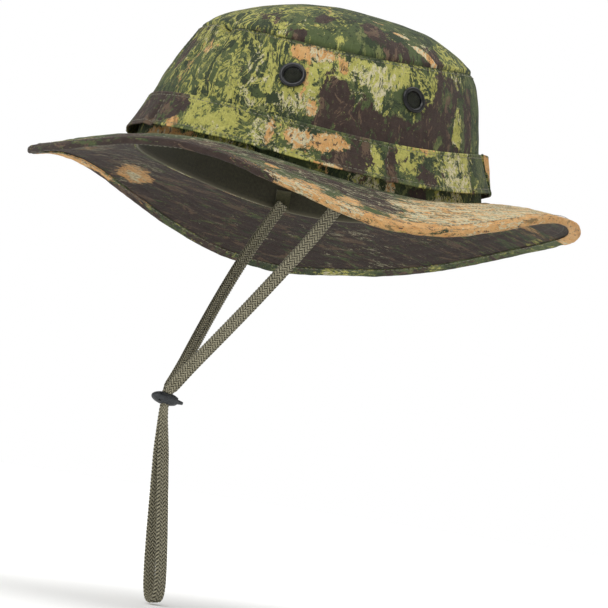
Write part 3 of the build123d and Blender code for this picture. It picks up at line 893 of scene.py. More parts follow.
def crown_relief(angle, share):
    """How far the crown cloth stands off its smooth shape: slack, puckers at the seams, folds."""
    u, v = arc(angle), share * SEAM_HEIGHT
    from_top = SEAM_HEIGHT - v
    slack = 0.75 * bumps(u, v, 36, 1) + 0.3 * bumps(u, v, 13, 2)
    slack = slack * ramp(share, 0.38, 0.52) * ramp(from_top, 0, 9)
    pucker = 0.5 * bumps(u, v * 0.2, 4.2, 3) * np.exp(-from_top / 5) * ramp(from_top, 0.3, 2.5)
    relief = slack + pucker
    for at_angle, at_share, length, width, slant, height in FOLDS:
        along_u, along_v = math.cos(math.radians(slant)), math.sin(math.radians(slant))
        du, dv = u - arc(at_angle), v - at_share * SEAM_HEIGHT
        along, across = du * along_u + dv * along_v, dv * along_u - du * along_v
        relief = relief + height * np.exp(-((along / length) ** 2) - (across / width) ** 2)
    seam = from_seams(angle)
    relief = relief - 0.8 * hump(seam, 1.6) + 0.35 * hump(seam - 4, 2)
    relief = relief - 0.9 * hump(from_top, 1.2)
    points = place(wall, angle, share)
    for name in VENTS:
        near = np.linalg.norm(points - vent_centre(name)[0], axis=-1)
        relief = relief * ramp(near, 9, 17) - 0.15 * hump(near - 9.5, 2.2)
    return relief


# Small accidents of the tip seam, a pinched fold near the front and a corner poking out at the
# back: angle, size, and shift outwards and upwards.
SEAM_SHIFTS = ((33, 6.5, -1.6, -2.6), (27, 6.0, 1.1, 0.9), (180, 2.6, 2.2, 0.6))


def seam_shift(points):
    """How far the tip seam's accidents move each point."""
    shift = np.zeros(points.shape)
    for angle, size, outwards, upwards in SEAM_SHIFTS:
        _, _, out_x, out_y = base_point(angle)
        near = np.exp(-((np.linalg.norm(points - place(wall, angle, 1.0), axis=-1) / size) ** 2))
        shift += near[..., None] * np.array([out_x * outwards, out_y * outwards, upwards])
    return shift


def crown_side(side, first, last):
    """One wall of the crown, with its two vent holes."""
    low_rows, top_rows = np.linspace(-BRIM_STACK / SEAM_HEIGHT, 0.9, 38), np.linspace(0.915, 0.995, 7)
    angle, share = np.meshgrid(np.linspace(first, last, 181), np.concatenate([low_rows, top_rows]))
    smooth = place(wall, angle, share)
    points = smooth + facing(smooth) * crown_relief(angle, share)[..., None] + seam_shift(smooth)
    patches, seed = by_angle(WALL_PATCHES, turn=first), 1 if side == "left" else 2
    fields = print_fields(arc(angle), share * SEAM_HEIGHT, patches, seed, (1.0, 1.7), {"lime": -0.68})
    holes = [(vent_centre(f"{end}_{side}")[0], VENT_HOLE) for end in ("front", "rear")]
    piece = shell(f"crown_wall_{side}", points, CLOTH, [CAMO, REVERSE], fields, holes=holes)
    return soft(piece, f"crown_side_{side}")


def soft(piece, node, body="hat"):
    """The piece stands for a CAD node: it hangs on the body, and the node is hidden."""
    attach(piece, body)
    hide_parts(node)
    return piece


def tip_point(angle, share):
    """Outer face of the crown tip, an ellipsoid from the tip seam at 0 to its top at 1."""
    turn = np.radians(angle)
    arc_radius = (TIP_HALF_WIDTH**2 + SIDE_DIP**2) / (2 * SIDE_DIP)
    spread = np.full(np.shape(turn), 0.9)
    for _ in range(50):
        x = DOME_SIZE[0] * spread * np.sin(turn)
        seam = SEAM_HEIGHT - (arc_radius - np.sqrt(arc_radius**2 - x**2))
        spread = np.sqrt(1 - np.clip((seam - DOME_BASE) / DOME_SIZE[2], 0, 1) ** 2)
    rise = np.arcsin(spread) * (1 - share)
    x = DOME_SIZE[0] * np.sin(rise) * np.sin(turn)
    y = TIP_SHIFT - DOME_SIZE[1] * np.sin(rise) * np.cos(turn)
    return np.stack([x, y, DOME_BASE + DOME_SIZE[2] * np.cos(rise)], -1)


def crown_tip():
    """The domed tip, rolled in at its seam."""
    share = np.concatenate([np.linspace(0, 0.03, 4), np.linspace(0.05, 0.995, 40)])
    angle, share = np.meshgrid(np.linspace(0, 360, 301), share)
    smooth = tip_point(angle, share)
    from_seam = share * 95
    u, v = smooth[..., 0], smooth[..., 1]
    relief = (0.7 * bumps(u, v, 34, 5) + 0.25 * bumps(u, v, 12, 6)) * ramp(from_seam, 2, 14)
    around = angle * 1.35
    relief = relief + 0.45 * bumps(around, from_seam * 0.2, 4.4, 7) * np.exp(-from_seam / 6)
    relief = relief - 0.9 * hump(from_seam, 1.2) + 0.3 * hump(from_seam - 3.5, 2)
    points = smooth + facing(smooth) * relief[..., None] + seam_shift(smooth)
    grounds = {"lime": -0.85, "dark": -0.6, "pale": -0.5, "curl": -0.4}
    fields = print_fields(u, v, TIP_PATCHES, 3, (1.0, 1.2), grounds)
    piece = shell("crown_top", points, CLOTH, [CAMO, REVERSE], fields, closed=True)
    return soft(piece, "crown_tip")


for half, first_angle, last_angle, _ in SIDES:
    crown_side(half, first_angle, last_angle)
crown_tip()


# ---------------------------------------------------------------------------------------------
# Brim, its binding, and what is sewn at the base seam.


def brim_relief(angle, share, seed):
    """Quilting between the rows of stitches, with a little slack."""
    width = brim_width(angle)
    out = share * width
    pitch = (width - BINDING_WIDTH) / (BRIM_ROWS + 0.5)
    quilt = 0.32 * np.abs(np.sin(np.pi * out / pitch)) ** 0.7
    quilt = quilt * ramp(width - out, BINDING_WIDTH - 0.5, BINDING_WIDTH + 2)
    slack = 0.22 * bumps(arc(angle), out, 9, seed) * quilt / 0.32
    return (quilt + slack) * ramp(from_seams(angle), 0.5, 3.0)


def brim_sway(angle, share):
    """Height that soft waves add to the whole brim, growing towards the rim."""
    u, v = arc(angle), 0 * angle
    return 0.9 * share**2 * bumps(u, v, 42, 12) + 0.35 * share**2 * bumps(u, v, 15, 13)


def brim_layer(side, first, last, upper):
    """Upper or lower cloth of one half of the brim."""
    angle, share = np.meshgrid(np.linspace(first, last, 181), np.linspace(0, 1, 50))
    smooth = place(brim, angle, share)
    smooth[..., 2] += brim_sway(angle, share)
    down = facing(smooth)
    seed = {("left", True): 4, ("right", True): 5, ("left", False): 6, ("right", False): 7}[side, upper]
    puff = brim_relief(angle, share, seed)[..., None]
    sign = 1 if side == "left" else -1
    turned = sign if upper else -sign
    if upper:
        points = smooth - down * puff
        points, angle, share = points[::-1], angle[::-1], share[::-1]
        patches = BRIM_PATCHES
        grounds = {"lime": -0.7, "tan": -0.5, "dark": -0.55, "pale": -0.25, "curl": -0.7, "grain": -0.3}
        material = CAMO
    else:
        points = smooth + down * (BRIM_STACK + puff)
        patches = UNDER_PATCHES
        grounds = {"lime": -0.8, "tan": -0.48, "dark": 0.0, "pale": -0.9, "curl": -0.9, "grain": -0.5}
        # The underside takes the dimmed copy of the cloth, which is painted shade.
        material = CAMO_UNDER_PAINTED_SHADE
    u, v = points[..., 0] * sign, points[..., 1] * turned
    fields = print_fields(u, v, patches, seed, (1.0, 4.5), grounds, 1.7)
    layer = "upper" if upper else "lower"
    piece = shell(f"brim_cloth_{layer}_{side}", points, BRIM_CLOTH, [material], fields)
    return soft(piece, f"brim_{layer}_{side}")


def brim_binding():
    """Bias strip folded over the rim, slightly puckered, its ends lapped at the back."""
    angle = np.linspace(180, 540, 541)
    width = brim_width(angle)
    turn = np.radians(np.linspace(90, -90, 9))
    middle_z = -BRIM_STACK / 2
    round_size = BRIM_STACK / 2 + BINDING_SKIN
    insets = np.linspace(BINDING_WIDTH, 0.5, 6)
    rows = [(-inset, round_size) for inset in insets]
    rows += [(round_size * 0.55 * math.cos(t), round_size * math.sin(t)) for t in turn]
    rows += [(-inset, -round_size) for inset in insets[::-1]]
    grid = []
    for out_shift, rise in rows:
        share = 1 + np.minimum(out_shift, 0) / width
        points = place(brim, angle, share)
        points[:, 2] += brim_sway(angle, share) + middle_z + rise
        _, _, out_x, out_y = base_point(angle)
        over = max(out_shift, 0)
        points += np.stack([out_x * over, out_y * over, 0 * out_x], -1)
        grid.append(points)
    grid = np.array(grid)[::-1]
    along = np.broadcast_to(arc(angle) * 1.5, grid.shape[:2])
    across = np.broadcast_to(np.arange(len(rows))[:, None] * 1.0, grid.shape[:2])
    pucker = 0.16 * bumps(along, across * 0.5, 4.5, 21) + 0.12 * bumps(along, across * 0.2, 11, 22)
    grid = grid + facing(grid) * pucker[..., None]
    front = float(arc(360) * 1.5)
    patches = {
        "dark": [
            (front + 70, 12, 85, 20), (front - 120, 8, 40, 8), (front + 262, 14, 16, 6),
            (front + 330, 10, 14, 8),
        ],
        "tan": [
            (front + 330, 14, 120, 20), (front + 205, 14, 22, 8), (front - 90, 4, 40, 6),
            (front + 420, 8, 60, 20),
        ],
        "lime": [(front, 12, 14, 20)],
        "pale": [(front + 180, 14, 14, 6), (front + 210, 15, 6, 5)],
    }
    grounds = {"lime": -0.4, "tan": -0.5, "dark": -0.15, "pale": -0.4}
    fields = print_fields(along, across, patches, 8, (1.6, 1.0), grounds)
    fields["thread"] = np.stack([along + across, along - across, 0 * along], -1) * math.sqrt(0.5)
    piece = shell("brim_edge_binding", grid, BINDING_CLOTH, [CAMO], fields, closed=True)
    return soft(piece, "brim_binding")


for half, first_angle, last_angle, _ in SIDES:
    for is_upper in (True, False):
        brim_layer(half, first_angle, last_angle, is_upper)
brim_binding()


def sweatband():
    """Soft tape inside the base of the crown, a little slack between its stitches."""
    rows = np.linspace(-BRIM_STACK / SEAM_HEIGHT, SWEATBAND_HEIGHT / SEAM_HEIGHT, 16)
    angle, share = np.meshgrid(np.linspace(180, 540, 361), rows)
    smooth = place(inside, angle, share)
    u, v = arc(angle), share * SEAM_HEIGHT
    slack = -0.5 * (1 + bumps(u, v, 16, 31)) * ramp(v, 0, 8)
    slack = slack + 0.4 * hump(v - SWEATBAND_HEIGHT + SWEATBAND_RIDGE, 0.9)
    points = smooth + facing(smooth) * np.minimum(slack, 0)[..., None]
    piece = shell("sweatband_tape", points, SWEATBAND_CLOTH, [SWEAT_TAPE], flat_thread(u, v), closed=True)
    return soft(piece, "sweatband")


def size_label():
    """Blank woven label sewn to the sweatband at the back."""
    columns = np.linspace(180 - LABEL_HALF_ANGLE, 180 + LABEL_HALF_ANGLE, 30)
    angle, share = np.meshgrid(columns, np.linspace(LABEL_LOW / SEAM_HEIGHT, LABEL_HIGH / SEAM_HEIGHT, 14))
    smooth = place(inside, angle, share)
    u, v = arc(angle) - arc(180), share * SEAM_HEIGHT
    lift = SWEATBAND_CLOTH + SKIN_GAP + LABEL_STAND + 0.25 * bumps(u, v, 9, 33)
    points = smooth - facing(smooth) * lift[..., None]
    piece = shell("blank_size_label", points, LABEL_CLOTH, [LABEL], flat_thread(u, v))
    return soft(piece, "size_label")


def strap_tab(side, sign):
    """Folded tape that holds one end of the chin cord."""
    low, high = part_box(f"strap_tab_{side}")
    low, high = np.array(low) / MM, np.array(high) / MM
    y, z = np.meshgrid(np.linspace(low[1], high[1], 16), np.linspace(low[2], high[2], 18))
    u, v = y - low[1], z - low[2]
    bow = 0.2 * bumps(u, v, 5, 35)
    x = sign * (high[0] if sign > 0 else -low[0]) - sign * 0.1 + bow * 0.5
    points = np.stack([x + 0 * y, y, z], -1)
    if sign < 0:
        points = points[:, ::-1]
    piece = shell(f"strap_tab_tape_{side}", points, STRAP_TAB_CLOTH, [TAB_TAPE], flat_thread(u, v))
    return soft(piece, f"strap_tab_{side}")


sweatband()
size_label()
for half, _, _, sign in SIDES:
    strap_tab(half, sign)


# ---------------------------------------------------------------------------------------------
# Foliage band and its tab.


def band_relief(angle, share):
    """The band is drawn in at each tack and bellies out a little between them."""
    u, v = arc(angle), share * BAND_HEIGHT
    relief = 0.35 * bumps(u, v * 0.4, 24, 41) * (1 - share) + 0.12 * bumps(u, v, 6, 42)
    for tack in TACKS:
        across = u - arc(tack)
        across = np.minimum(np.abs(across), np.abs(across - arc(360)))
        relief = relief - (0.25 + 1.5 * (1 - share)) * hump(across, 1.9)
        relief = relief + 0.5 * (1 - share) * hump(across - 5.5, 3.2)
    for height in BAND_STITCH_ROWS:
        relief = relief - 0.22 * hump(v - height, 0.6)
    return relief


def foliage_band():
    """One strip around the crown, tight at its top edge and standing off at its lower edge."""
    angle, share = np.meshgrid(np.linspace(180, 540, 541), np.linspace(0, 1, 24))
    smooth = place(band, angle, share)
    points = smooth + facing(smooth) * band_relief(angle, share)[..., None]
    patches = {}
    for turn in (180, 360):
        for key, some in by_angle(BAND_PATCHES, BAND_HEIGHT, turn).items():
            patches[key] = patches.get(key, []) + some
    fields = print_fields(arc(angle), share * BAND_HEIGHT, patches, 9, (1.0, 1.25), {"lime": -0.55})
    piece = shell("foliage_loop_band", points, BAND_CLOTH, [CAMO], fields, closed=True)
    return soft(piece, "foliage_band")


def band_tab():
    """Flat loop over the band's joined ends; its two sides turn in to the band."""
    half = TAB_HALF_ANGLE + 3.0
    across, share = np.meshgrid(np.linspace(-half, half, 60), np.linspace(0, 1, 18))
    angle = 180 + across
    height = TAB_LOW + (TAB_HIGH - TAB_LOW) * share
    out, z = wall(angle, height / SEAM_HEIGHT)
    foot = band(angle, np.clip((height - BAND_LOW) / BAND_HEIGHT, 0, 1))[0] + TAB_CLOTH + 0.1
    top = out + TAB_OFFSET + TAB_CLOTH
    out = top + (np.minimum(foot, top) - top) * ramp(np.abs(across), TAB_HALF_ANGLE - 1.2, half - 0.4)
    x, y, out_x, out_y = base_point(angle)
    points = np.stack([x + out * out_x, y + out * out_y, z], -1)
    u, v = arc(angle) - arc(180), height
    points = points + facing(points) * (0.25 * bumps(u, v, 7, 44))[..., None]
    patches = {"dark": [(0, 16, 12, 14)], "tan": [(-10, 20, 4, 7)], "lime": [(14, 12, 4, 8)]}
    fields = print_fields(u, v, patches, 10)
    piece = shell("band_end_tab", points, TAB_CLOTH, [CAMO], fields)
    return soft(piece, "band_tab")


foliage_band()
band_tab()


# ---------------------------------------------------------------------------------------------
# Stitches: small arched capsules laid along lines on the cloth.


CAPSULE = ((-1.0, 0.35, -0.5), (-0.72, 0.9, 0.15), (0.0, 1.0, 0.55), (0.72, 0.9, 0.15), (1.0, 0.35, -0.5))
CAPSULE_SIDES = 6
STITCH_LENGTH = 2.1
STITCH_GAP = 0.9
STITCH_LIFT = 0.05
TACK_LIFT = 0.1


def stitch_run(points, normals, radius):
    """Capsules along one line: their points, faces and thread coordinates."""
    steps = np.linalg.norm(np.diff(points, axis=0), axis=1)
    along = np.concatenate([[0], np.cumsum(steps)])
    count = max(int(along[-1] / (STITCH_LENGTH + STITCH_GAP)), 1)
    middles = (np.arange(count) + 0.5) * along[-1] / count

    def sample(grid, where):
        return np.stack([np.interp(where, along, grid[:, k]) for k in range(3)], -1)

    turn = np.linspace(0, 2 * np.pi, CAPSULE_SIDES, endpoint=False)[None]
    rings, threads = [], []
    for reach_along, size, lift in CAPSULE:
        where = middles + reach_along * STITCH_LENGTH / 2
        centre = sample(points, where)
        ahead = unit(sample(points, where + 0.3) - sample(points, where - 0.3))
        up = unit(sample(normals, where))
        side = unit(np.cross(ahead, up))
        centre = centre + up * radius * lift
        rings.append(rings_along(centre, side, up, CAPSULE_SIDES, radius * size, radius * size))
        threads.append(np.stack(np.broadcast_arrays(where[:, None], turn, 0.0), -1))
    per_stitch = len(CAPSULE) * CAPSULE_SIDES
    pattern = tube_faces(0, len(CAPSULE), CAPSULE_SIDES)
    faces = [tuple(i * per_stitch + v for v in face) for i in range(count) for face in pattern]
    return np.stack(rings, 1).reshape(-1, 3), faces, np.stack(threads, 1).reshape(-1, 3)


def stitches(name, lines, radius=0.2, material=THREAD):
    """One piece for several lines of stitches. A line is (points, normals)."""
    verts, faces, threads, start = [], [], [], 0
    for points, normals in lines:
        some, fresh, thread = stitch_run(points, normals, radius)
        verts.append(some)
        threads.append(thread)
        faces += [tuple(start + v for v in face) for face in fresh]
        start += len(some)
    attributes = {"thread": np.concatenate(threads)}
    piece = make(name, np.concatenate(verts), faces, [material], None, attributes)
    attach(piece, "hat")


def crown_line(angle, share, turned=False):
    """Middle column of a narrow grid on the crown wall: points just above its cloth, and normals."""
    smooth = place(wall, angle, share)
    normal = -facing(smooth) if turned else facing(smooth)
    lifted = smooth + normal * crown_relief(angle, share)[..., None] + seam_shift(smooth)
    middle = angle.shape[1] // 2
    return lifted[:, middle] + normal[:, middle] * TACK_LIFT, normal[:, middle]


def crown_rows():
    """Two rows beside the front seam, two beside the back seam, and one under the tip seam."""
    lines = []
    for seam_angle in (0.0, 180.0):
        for aside in (-1.6, 1.6):
            angle, share = np.meshgrid([-0.5, 0, 0.5], np.linspace(0.38, 0.97, 60))
            lines.append(crown_line((angle + seam_angle + aside) % 360, share))
    angle, share = np.meshgrid(np.linspace(0, 360, 541), [0.955, 0.965, 0.975])
    lines.append(crown_line(angle.T, share.T, turned=True))
    return lines


def brim_line(angle, share):
    """Points along a line of the brim's upper face, and the directions straight down from it."""
    grid = np.stack([angle] * 3), np.stack([share - 0.01, share, share + 0.01])
    smooth = place(brim, *grid)
    smooth[..., 2] += brim_sway(*grid)
    return smooth[1], facing(smooth)[1]


def brim_rows(upper):
    """Concentric rows of stitches in the brim."""
    lines = []
    angle = np.linspace(1.5, 358.5, 720)
    width = brim_width(angle)
    pitch = (width - BINDING_WIDTH) / (BRIM_ROWS + 0.5)
    for row in range(1, BRIM_ROWS + 1):
        points, down = brim_line(angle, row * pitch / width)
        if upper:
            lines.append((points - down * STITCH_LIFT, -down))
        else:
            lines.append((points + down * (BRIM_STACK + STITCH_LIFT), down))
    return lines


def binding_rows():
    """One row of stitches near the binding's inner edge, above and below."""
    angle = np.linspace(0, 360, 1081)
    points, down = brim_line(angle, 1 - (BINDING_WIDTH - 1.2) / brim_width(angle))
    above = points - down * (BINDING_SKIN + STITCH_LIFT)
    below = points + down * (BRIM_STACK + BINDING_SKIN + STITCH_LIFT)
    return [(above, -down), (below, down)]


def band_line(angle, share, middle, lift):
    """The middle row or column of a narrow grid on the band: points above its cloth, and normals."""
    smooth = place(band, angle, share)
    normal = facing(smooth)
    lifted = smooth + normal * band_relief(angle, share)[..., None]
    return lifted[middle] + normal[middle] * lift, normal[middle]


def band_rows():
    """Topstitching along both edges of the band, and the tacks across it."""
    lines = []
    for height in BAND_STITCH_ROWS:
        share = height / BAND_HEIGHT
        grid = np.meshgrid(np.linspace(187, 533, 1000), [share - 0.02, share, share + 0.02])
        lines.append(band_line(*grid, 1, STITCH_LIFT))
    for tack in TACKS:
        grid = np.meshgrid([tack - 0.3, tack, tack + 0.3], np.linspace(0.03, 0.97, 30))
        lines.append(band_line(*grid, np.s_[:, 1], TACK_LIFT))
    return lines


stitches("crown_seam_stitches", crown_rows())
stitches("brim_stitches_upper", brim_rows(True), radius=0.13, material=BRIM_THREAD)
stitches("brim_stitches_lower", brim_rows(False), radius=0.14, material=BRIM_THREAD)
stitches("binding_stitches", binding_rows())
stitches("band_stitches", band_rows())


# ---------------------------------------------------------------------------------------------
# Vents: the CAD eyelets and washers keep their shape, and the screens are woven here.


def screen_weave(name):
    """Wires over and under each other, cut to a disc."""
    centre, normal, across = vent_centre(name)
    upward = np.cross(normal, across)
    middle = centre - normal * SCREEN_DEPTH
    count = int(SCREEN_RADIUS / SCREEN_PITCH)
    verts, faces = [], []
    for first, second, flip in ((across, upward, 1), (upward, across, -1)):
        for k in range(-count, count + 1):
            aside = k * SCREEN_PITCH
            half = math.sqrt(max(SCREEN_RADIUS**2 - aside**2, 0.04))
            along = np.linspace(-half, half, 8 * count)
            wave = flip * SCREEN_WAVE * np.cos(np.pi * along / SCREEN_PITCH + np.pi * k)
            line = middle + along[:, None] * first + aside * second + wave[:, None] * normal
            ring = rings_along(line, second, normal, SCREEN_SIDES, SCREEN_WIRE_RADIUS, SCREEN_WIRE_RADIUS)
            faces += tube_faces(len(verts), len(along), SCREEN_SIDES)
            verts.extend(ring.reshape(-1, 3))
    piece = make(f"vent_mesh_{name}", verts, faces, [SCREEN_WIRE])
    return soft(piece, f"vent_screen_{name}")


for vent in VENTS:
    screen_weave(vent)


# ---------------------------------------------------------------------------------------------
# Chin cord: a flat tubular braid over a near-black core, painted shade that shows between the carriers, with
# CARRIERS carriers wound each way.

CARRIERS = 8
BRAID_TURN = 17.0
BRAID_HALF_WIDTH = 3.15
BRAID_HALF_THICKNESS = 0.66
BRAID_LIFT = 0.3
CARRIER_HALF = (0.64, 0.3)
CARRIER_SIDES = 6
CORE_SIDES = 12
CORE_INSET = 0.35
CORE_THICKNESS = 0.55
CORD_STEP = 0.55


tilt = math.radians(LOCK_TILT)
lean = math.radians(LOOP_LEAN)
turn_back = math.radians(LOOP_TURN)
channel_up = np.array([0, math.sin(tilt), math.cos(tilt)])
loop_down = np.array([0, math.sin(lean), -math.cos(lean)])
cord_join = np.array(LOCK_CENTRE) + channel_up * CORD_TOP
loop_start = np.array(LOCK_CENTRE) + channel_up * (GRIP_GAP - CORD_BOTTOM)
strand_down = unit(cord_join - np.array(PIVOT))
strand_width = np.cross(strand_down, [1, 0, 0])
loop_level = np.array([0, math.cos(lean), math.sin(lean)])
loop_width = math.cos(turn_back) * loop_level - math.sin(turn_back) * np.array([1, 0, 0])
loop_spread = -math.cos(turn_back) * np.array([1, 0, 0]) - math.sin(turn_back) * loop_level


def route_line(name, points):
    """Points every CORD_STEP along the smooth NURBS line with these control points."""
    curve = bpy.data.curves.new(name, "CURVE")
    curve.dimensions = "3D"
    spline = curve.splines.new("NURBS")
    spline.points.add(len(points) - 1)
    for control, point in zip(spline.points, points):
        control.co = (*(np.array(point) * MM), 1)
    spline.order_u = 3
    spline.use_endpoint_u = True
    spline.resolution_u = 32
    holder = bpy.data.objects.new(name, curve)
    mesh = bpy.data.meshes.new_from_object(holder)
    line = np.array([v.co for v in mesh.vertices]) / MM
    bpy.data.meshes.remove(mesh)
    bpy.data.objects.remove(holder)
    bpy.data.curves.remove(curve)
    along = np.concatenate([[0], np.cumsum(np.linalg.norm(np.diff(line, axis=0), axis=1))])
    where = np.linspace(0, along[-1], int(along[-1] / CORD_STEP) + 1)
    return np.stack([np.interp(where, along, line[:, k]) for k in range(3)], -1), where


def oval_point(share, half_width, half_thickness):
    """Point and outward direction on a flat stadium outline, for a share of its way round."""
    straight = 2 * (half_width - half_thickness)
    bend = np.pi * half_thickness
    way = (share % 1.0) * 2 * (straight + bend)
    side = np.where(way < straight + bend, 1.0, -1.0)
    way = np.where(side > 0, way, way - straight - bend)
    on_flat = way < straight
    angle = np.clip(way - straight, 0, bend) / half_thickness
    x = np.where(on_flat, way - straight / 2, straight / 2 + half_thickness * np.sin(angle))
    y = np.where(on_flat, half_thickness, half_thickness * np.cos(angle))
    nx = np.where(on_flat, 0.0, np.sin(angle))
    ny = np.where(on_flat, 1.0, np.cos(angle))
    return side * x, side * y, side * nx, side * ny


def braid(name, line, where, width_hint, width_scale, thick_scale, node):
    """A braided flat cord along a line, with its near-black core of painted shade."""
    ahead = unit(np.gradient(line, axis=0))
    across = unit(width_hint - ahead * np.sum(ahead * width_hint, axis=1, keepdims=True))
    through = np.cross(ahead, across)
    verts, faces, threads, marks, heights = [], [], [], [], []
    turn = np.linspace(0, 2 * np.pi, CARRIER_SIDES, endpoint=False)
    half_width = BRAID_HALF_WIDTH * width_scale
    half_thickness = BRAID_HALF_THICKNESS * thick_scale

    def add_tube(rings, thread, mark):
        faces.extend(tube_faces(len(verts), rings.shape[0], rings.shape[1]))
        verts.extend(rings.reshape(-1, 3))
        threads.extend(thread.reshape(-1, 3))
        marks.extend([mark] * (len(faces) - len(marks)))

    for direction in (1, -1):
        for k in range(CARRIERS):
            share = k / CARRIERS + direction * where / BRAID_TURN
            crossing = 2 * k + direction * 2 * CARRIERS * where / BRAID_TURN
            over = np.clip(1.5 * direction * np.cos(np.pi * (crossing - 0.5) / 2), -1, 1)
            heights.append(np.repeat(over, CARRIER_SIDES))
            x, y, nx, ny = oval_point(share, half_width, half_thickness)
            out = nx[:, None] * across + ny[:, None] * through
            centre = line + x[:, None] * across + y[:, None] * through + (BRAID_LIFT * over)[:, None] * out
            path_ahead = unit(np.gradient(centre, axis=0))
            side = unit(np.cross(out, path_ahead))
            lift = np.cross(path_ahead, side)
            rings = rings_along(centre, side, lift, CARRIER_SIDES, *CARRIER_HALF)
            along, twist = where[:, None] + 40.0 * k, direction * 3.0 + k
            thread = np.stack(np.broadcast_arrays(along, np.cos(turn)[None, :], twist), -1)
            add_tube(rings, thread, 0)
    # The near-black core is painted shade, seen between the carriers.
    core_width = (half_width - CORE_INSET)[:, None, None]
    core_thickness = (half_thickness * CORE_THICKNESS)[:, None, None]
    core = rings_along(line, across, through, CORE_SIDES, core_width, core_thickness)
    add_tube(core, np.zeros(core.shape), 1)
    heights.append(np.zeros(core.shape[0] * core.shape[1]))
    attributes = {"thread": np.array(threads), "over": np.concatenate(heights)}
    piece = make(name, np.array(verts), faces, [BRAID, PAINTED_SHADE_CORE], marks, attributes)
    soft(piece, node, "strap")
    return piece


for half, _, _, sign in SIDES:
    to_side = sign * np.array([1, 0, 0])
    route = [np.array(PIVOT) + along * strand_down + out * to_side for along, out in STRAND_ROUTE]
    line, where = route_line(f"strand_{half}", route)
    left_over = where[-1] - where
    narrow = 0.62 + 0.4 * ramp(left_over, 1, 8)
    thick = 1.25 - 0.25 * ramp(left_over, 1, 8)
    braid(f"chin_strand_{half}", line, where, strand_width, narrow, thick, f"chin_cord_{half}")

loop_points = [*LOOP_ROUTE, *((along, -out) for along, out in LOOP_ROUTE[::-1])]
loop_route = [loop_start + along * loop_down + out * loop_spread for along, out in loop_points]
in_lock = [loop_start + IN_LOCK * channel_up + side * IN_LOCK_HALF_GAP * loop_spread for side in (1, -1)]
line, where = route_line("free_loop", [in_lock[0], *loop_route, in_lock[1]])
from_lock = np.minimum(where, where[-1] - where)
narrow = 0.55 + 0.65 * ramp(from_lock, 3, 34)
thick = 1.0 + 0.1 * ramp(from_lock, 0, 12)
hint = loop_width + LOOP_TWIST * loop_spread
tail = braid("chin_cord_loop", line, where, hint, narrow, thick, "cord_tail")
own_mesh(tail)


def spring_coil():
    """The lock's spring, wound here along the way into the lock."""
    level_in = math.cos(turn_back)
    into_lock = np.array([math.sin(turn_back), -level_in * math.cos(tilt), level_in * math.sin(tilt)])
    level = unit(np.cross(into_lock, channel_up))
    foot = np.array(LOCK_CENTRE) + into_lock * SPRING_FOOT
    wound = np.linspace(0, 1, SPRING_STEPS)
    around = 2 * np.pi * SPRING_TURNS * wound
    circle = np.cos(around)[:, None] * level + np.sin(around)[:, None] * np.cross(level, into_lock)
    centre = foot - (SPRING_WIRE + SPRING_HEIGHT * wound)[:, None] * into_lock + SPRING_RADIUS * circle
    across = unit(np.cross(np.gradient(centre, axis=0), circle))
    rings = rings_along(centre, circle, across, SPRING_SIDES, SPRING_WIRE, SPRING_WIRE)
    faces = [face[::-1] for face in tube_faces(0, SPRING_STEPS, SPRING_SIDES)]
    coil = make("lock_spring_coil", rings.reshape(-1, 3), faces, [STEEL])
    piece = soft(coil, "lock_spring", "lock")
    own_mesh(piece)


spring_coil()


# ---------------------------------------------------------------------------------------------
# Finishes of the CAD nodes that keep their shape.

CAD_FINISHES = {
    "vent_eyelet": (ENAMEL, "eyelet_metal"),
    "vent_washer": (ENAMEL, "eyelet_metal"),
    "brim_interfacing": (NONWOVEN, "interfacing"),
    "lock_body": (PLASTIC, "lock_plastic"),
    "lock_plunger": (PLUNGER_PLASTIC, "plunger_plastic"),
}
for node_name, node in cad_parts.items():
    for start, (material, slot_name) in CAD_FINISHES.items():
        if node_name.startswith(start):
            node.data.materials.clear()
            node.data.materials.append(material)
            node.data.polygons.foreach_set("use_smooth", [True] * len(node.data.polygons))
            node.data.polygons.foreach_set("material_index", [0] * len(node.data.polygons))


# ---------------------------------------------------------------------------------------------
# Floor, light and camera.

FLOOR_GAP = 2.0
FLOOR_RADII = (200, 2000, 30000)
SKY_STRENGTH = 0.62
SENSOR_WIDTH = 36


def sun(name, come_from, strength, spread):
    """A soft distant light from a direction; spread is in degrees."""
    data = bpy.data.lights.new(name, "SUN")
    data.energy = strength
    data.angle = math.radians(spread)
    holder = bpy.data.objects.new(name, data)
    holder.rotation_mode = "QUATERNION"
    holder.rotation_quaternion = Vector(come_from).to_track_quat("Z", "Y")
    bpy.context.scene.collection.objects.link(holder)


def floor():
    """A wide pale disc under the lowest point of the cord."""
    paint = Paint("studio_floor", Roughness=0.9, Specular_IOR_Level=0.1)
    where = paint.node("TexCoord", out="Object")
    tone = paint.scatter(where, 0.4, 3.0, 0.5)
    material = paint.finish(paint.mix(tone, shade("f4f4f2"), shade("fafaf9")))
    level = cad_box[0].z / MM - FLOOR_GAP
    sides = 96
    turn = np.linspace(0, 2 * np.pi, sides + 1)[:-1]
    disc = np.stack([np.cos(turn), np.sin(turn), 0 * turn], -1)
    rings = [disc * radius + (0, 0, level) for radius in FLOOR_RADII]
    verts = np.concatenate([[(0, 0, level)], *rings])
    faces = [(0, 1 + s, 1 + (s + 1) % sides) for s in range(sides)]
    for a in (1, 1 + sides):
        b = a + sides
        faces += [(a + s, b + s, b + (s + 1) % sides, a + (s + 1) % sides) for s in range(sides)]
    make("studio_floor", verts, faces, [material])


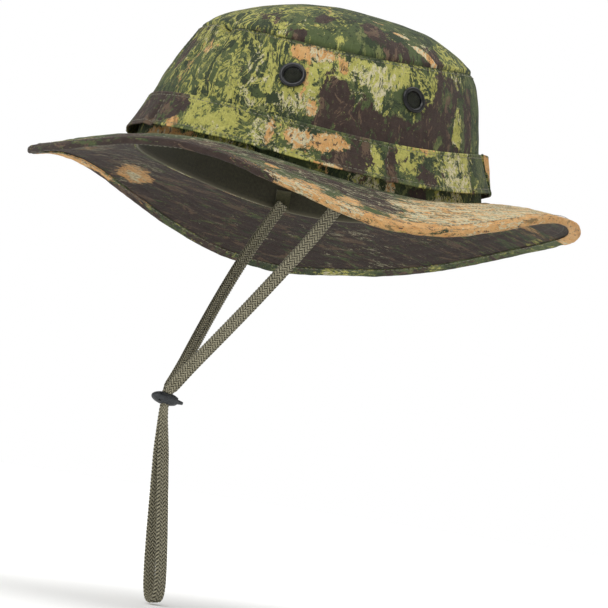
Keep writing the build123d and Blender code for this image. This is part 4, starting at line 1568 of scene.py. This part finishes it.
floor()
world = bpy.data.worlds.new("studio")
world.use_nodes = True
sky = world.node_tree
glow = sky.nodes["Background"]
glow.inputs["Color"].default_value = (1, 1, 1, 1)
glow.inputs["Strength"].default_value = SKY_STRENGTH
backdrop = sky.nodes.new("ShaderNodeBackground")
backdrop.inputs["Strength"].default_value = 1.0
seen = sky.nodes.new("ShaderNodeLightPath")
chosen = sky.nodes.new("ShaderNodeMixShader")
sky.links.new(seen.outputs["Is Camera Ray"], chosen.inputs[0])
sky.links.new(glow.outputs[0], chosen.inputs[1])
sky.links.new(backdrop.outputs[0], chosen.inputs[2])
sky.links.new(chosen.outputs[0], sky.nodes["World Output"].inputs["Surface"])
backdrop.inputs["Color"].default_value = (1, 1, 1, 1)
bpy.context.scene.world = world
bpy.context.scene.view_settings.view_transform = "Standard"

SIDE_VIEW = 75.0
HAT_PITCH = 9.2
LOOK_UP = -2.0
CAMERA_DISTANCE = 1500.0
LENS = 154.5
FRAME_RIGHT = 3.05
FRAME_UP = 77.0

pitch = math.radians(HAT_PITCH)
around = math.radians(SIDE_VIEW)
climb = math.radians(LOOK_UP)
level_up = Vector((0, -math.sin(pitch), math.cos(pitch)))
level_front = Vector((0, -math.cos(pitch), -math.sin(pitch)))
level_back = math.sin(around) * Vector((1, 0, 0)) + math.cos(around) * level_front
right = level_up.cross(level_back)
back = level_back * math.cos(climb) + level_up * math.sin(climb)
up = back.cross(right)
spot = (back * CAMERA_DISTANCE - right * FRAME_RIGHT - up * FRAME_UP) * MM

camera_data = bpy.data.cameras.new("camera")
camera_data.lens = LENS
camera_data.sensor_width = SENSOR_WIDTH
camera_data.clip_end = 100
camera = bpy.data.objects.new("camera", camera_data)
camera.matrix_world = Matrix.Translation(spot) @ Matrix((right, up, back)).transposed().to_4x4()
bpy.context.scene.collection.objects.link(camera)
bpy.context.scene.camera = camera

sun("key_sun", (0.7, -0.75, 1.2), 1.3, 35)
sun("top_sun", (-0.3, 0.3, 1.5), 1.2, 60)
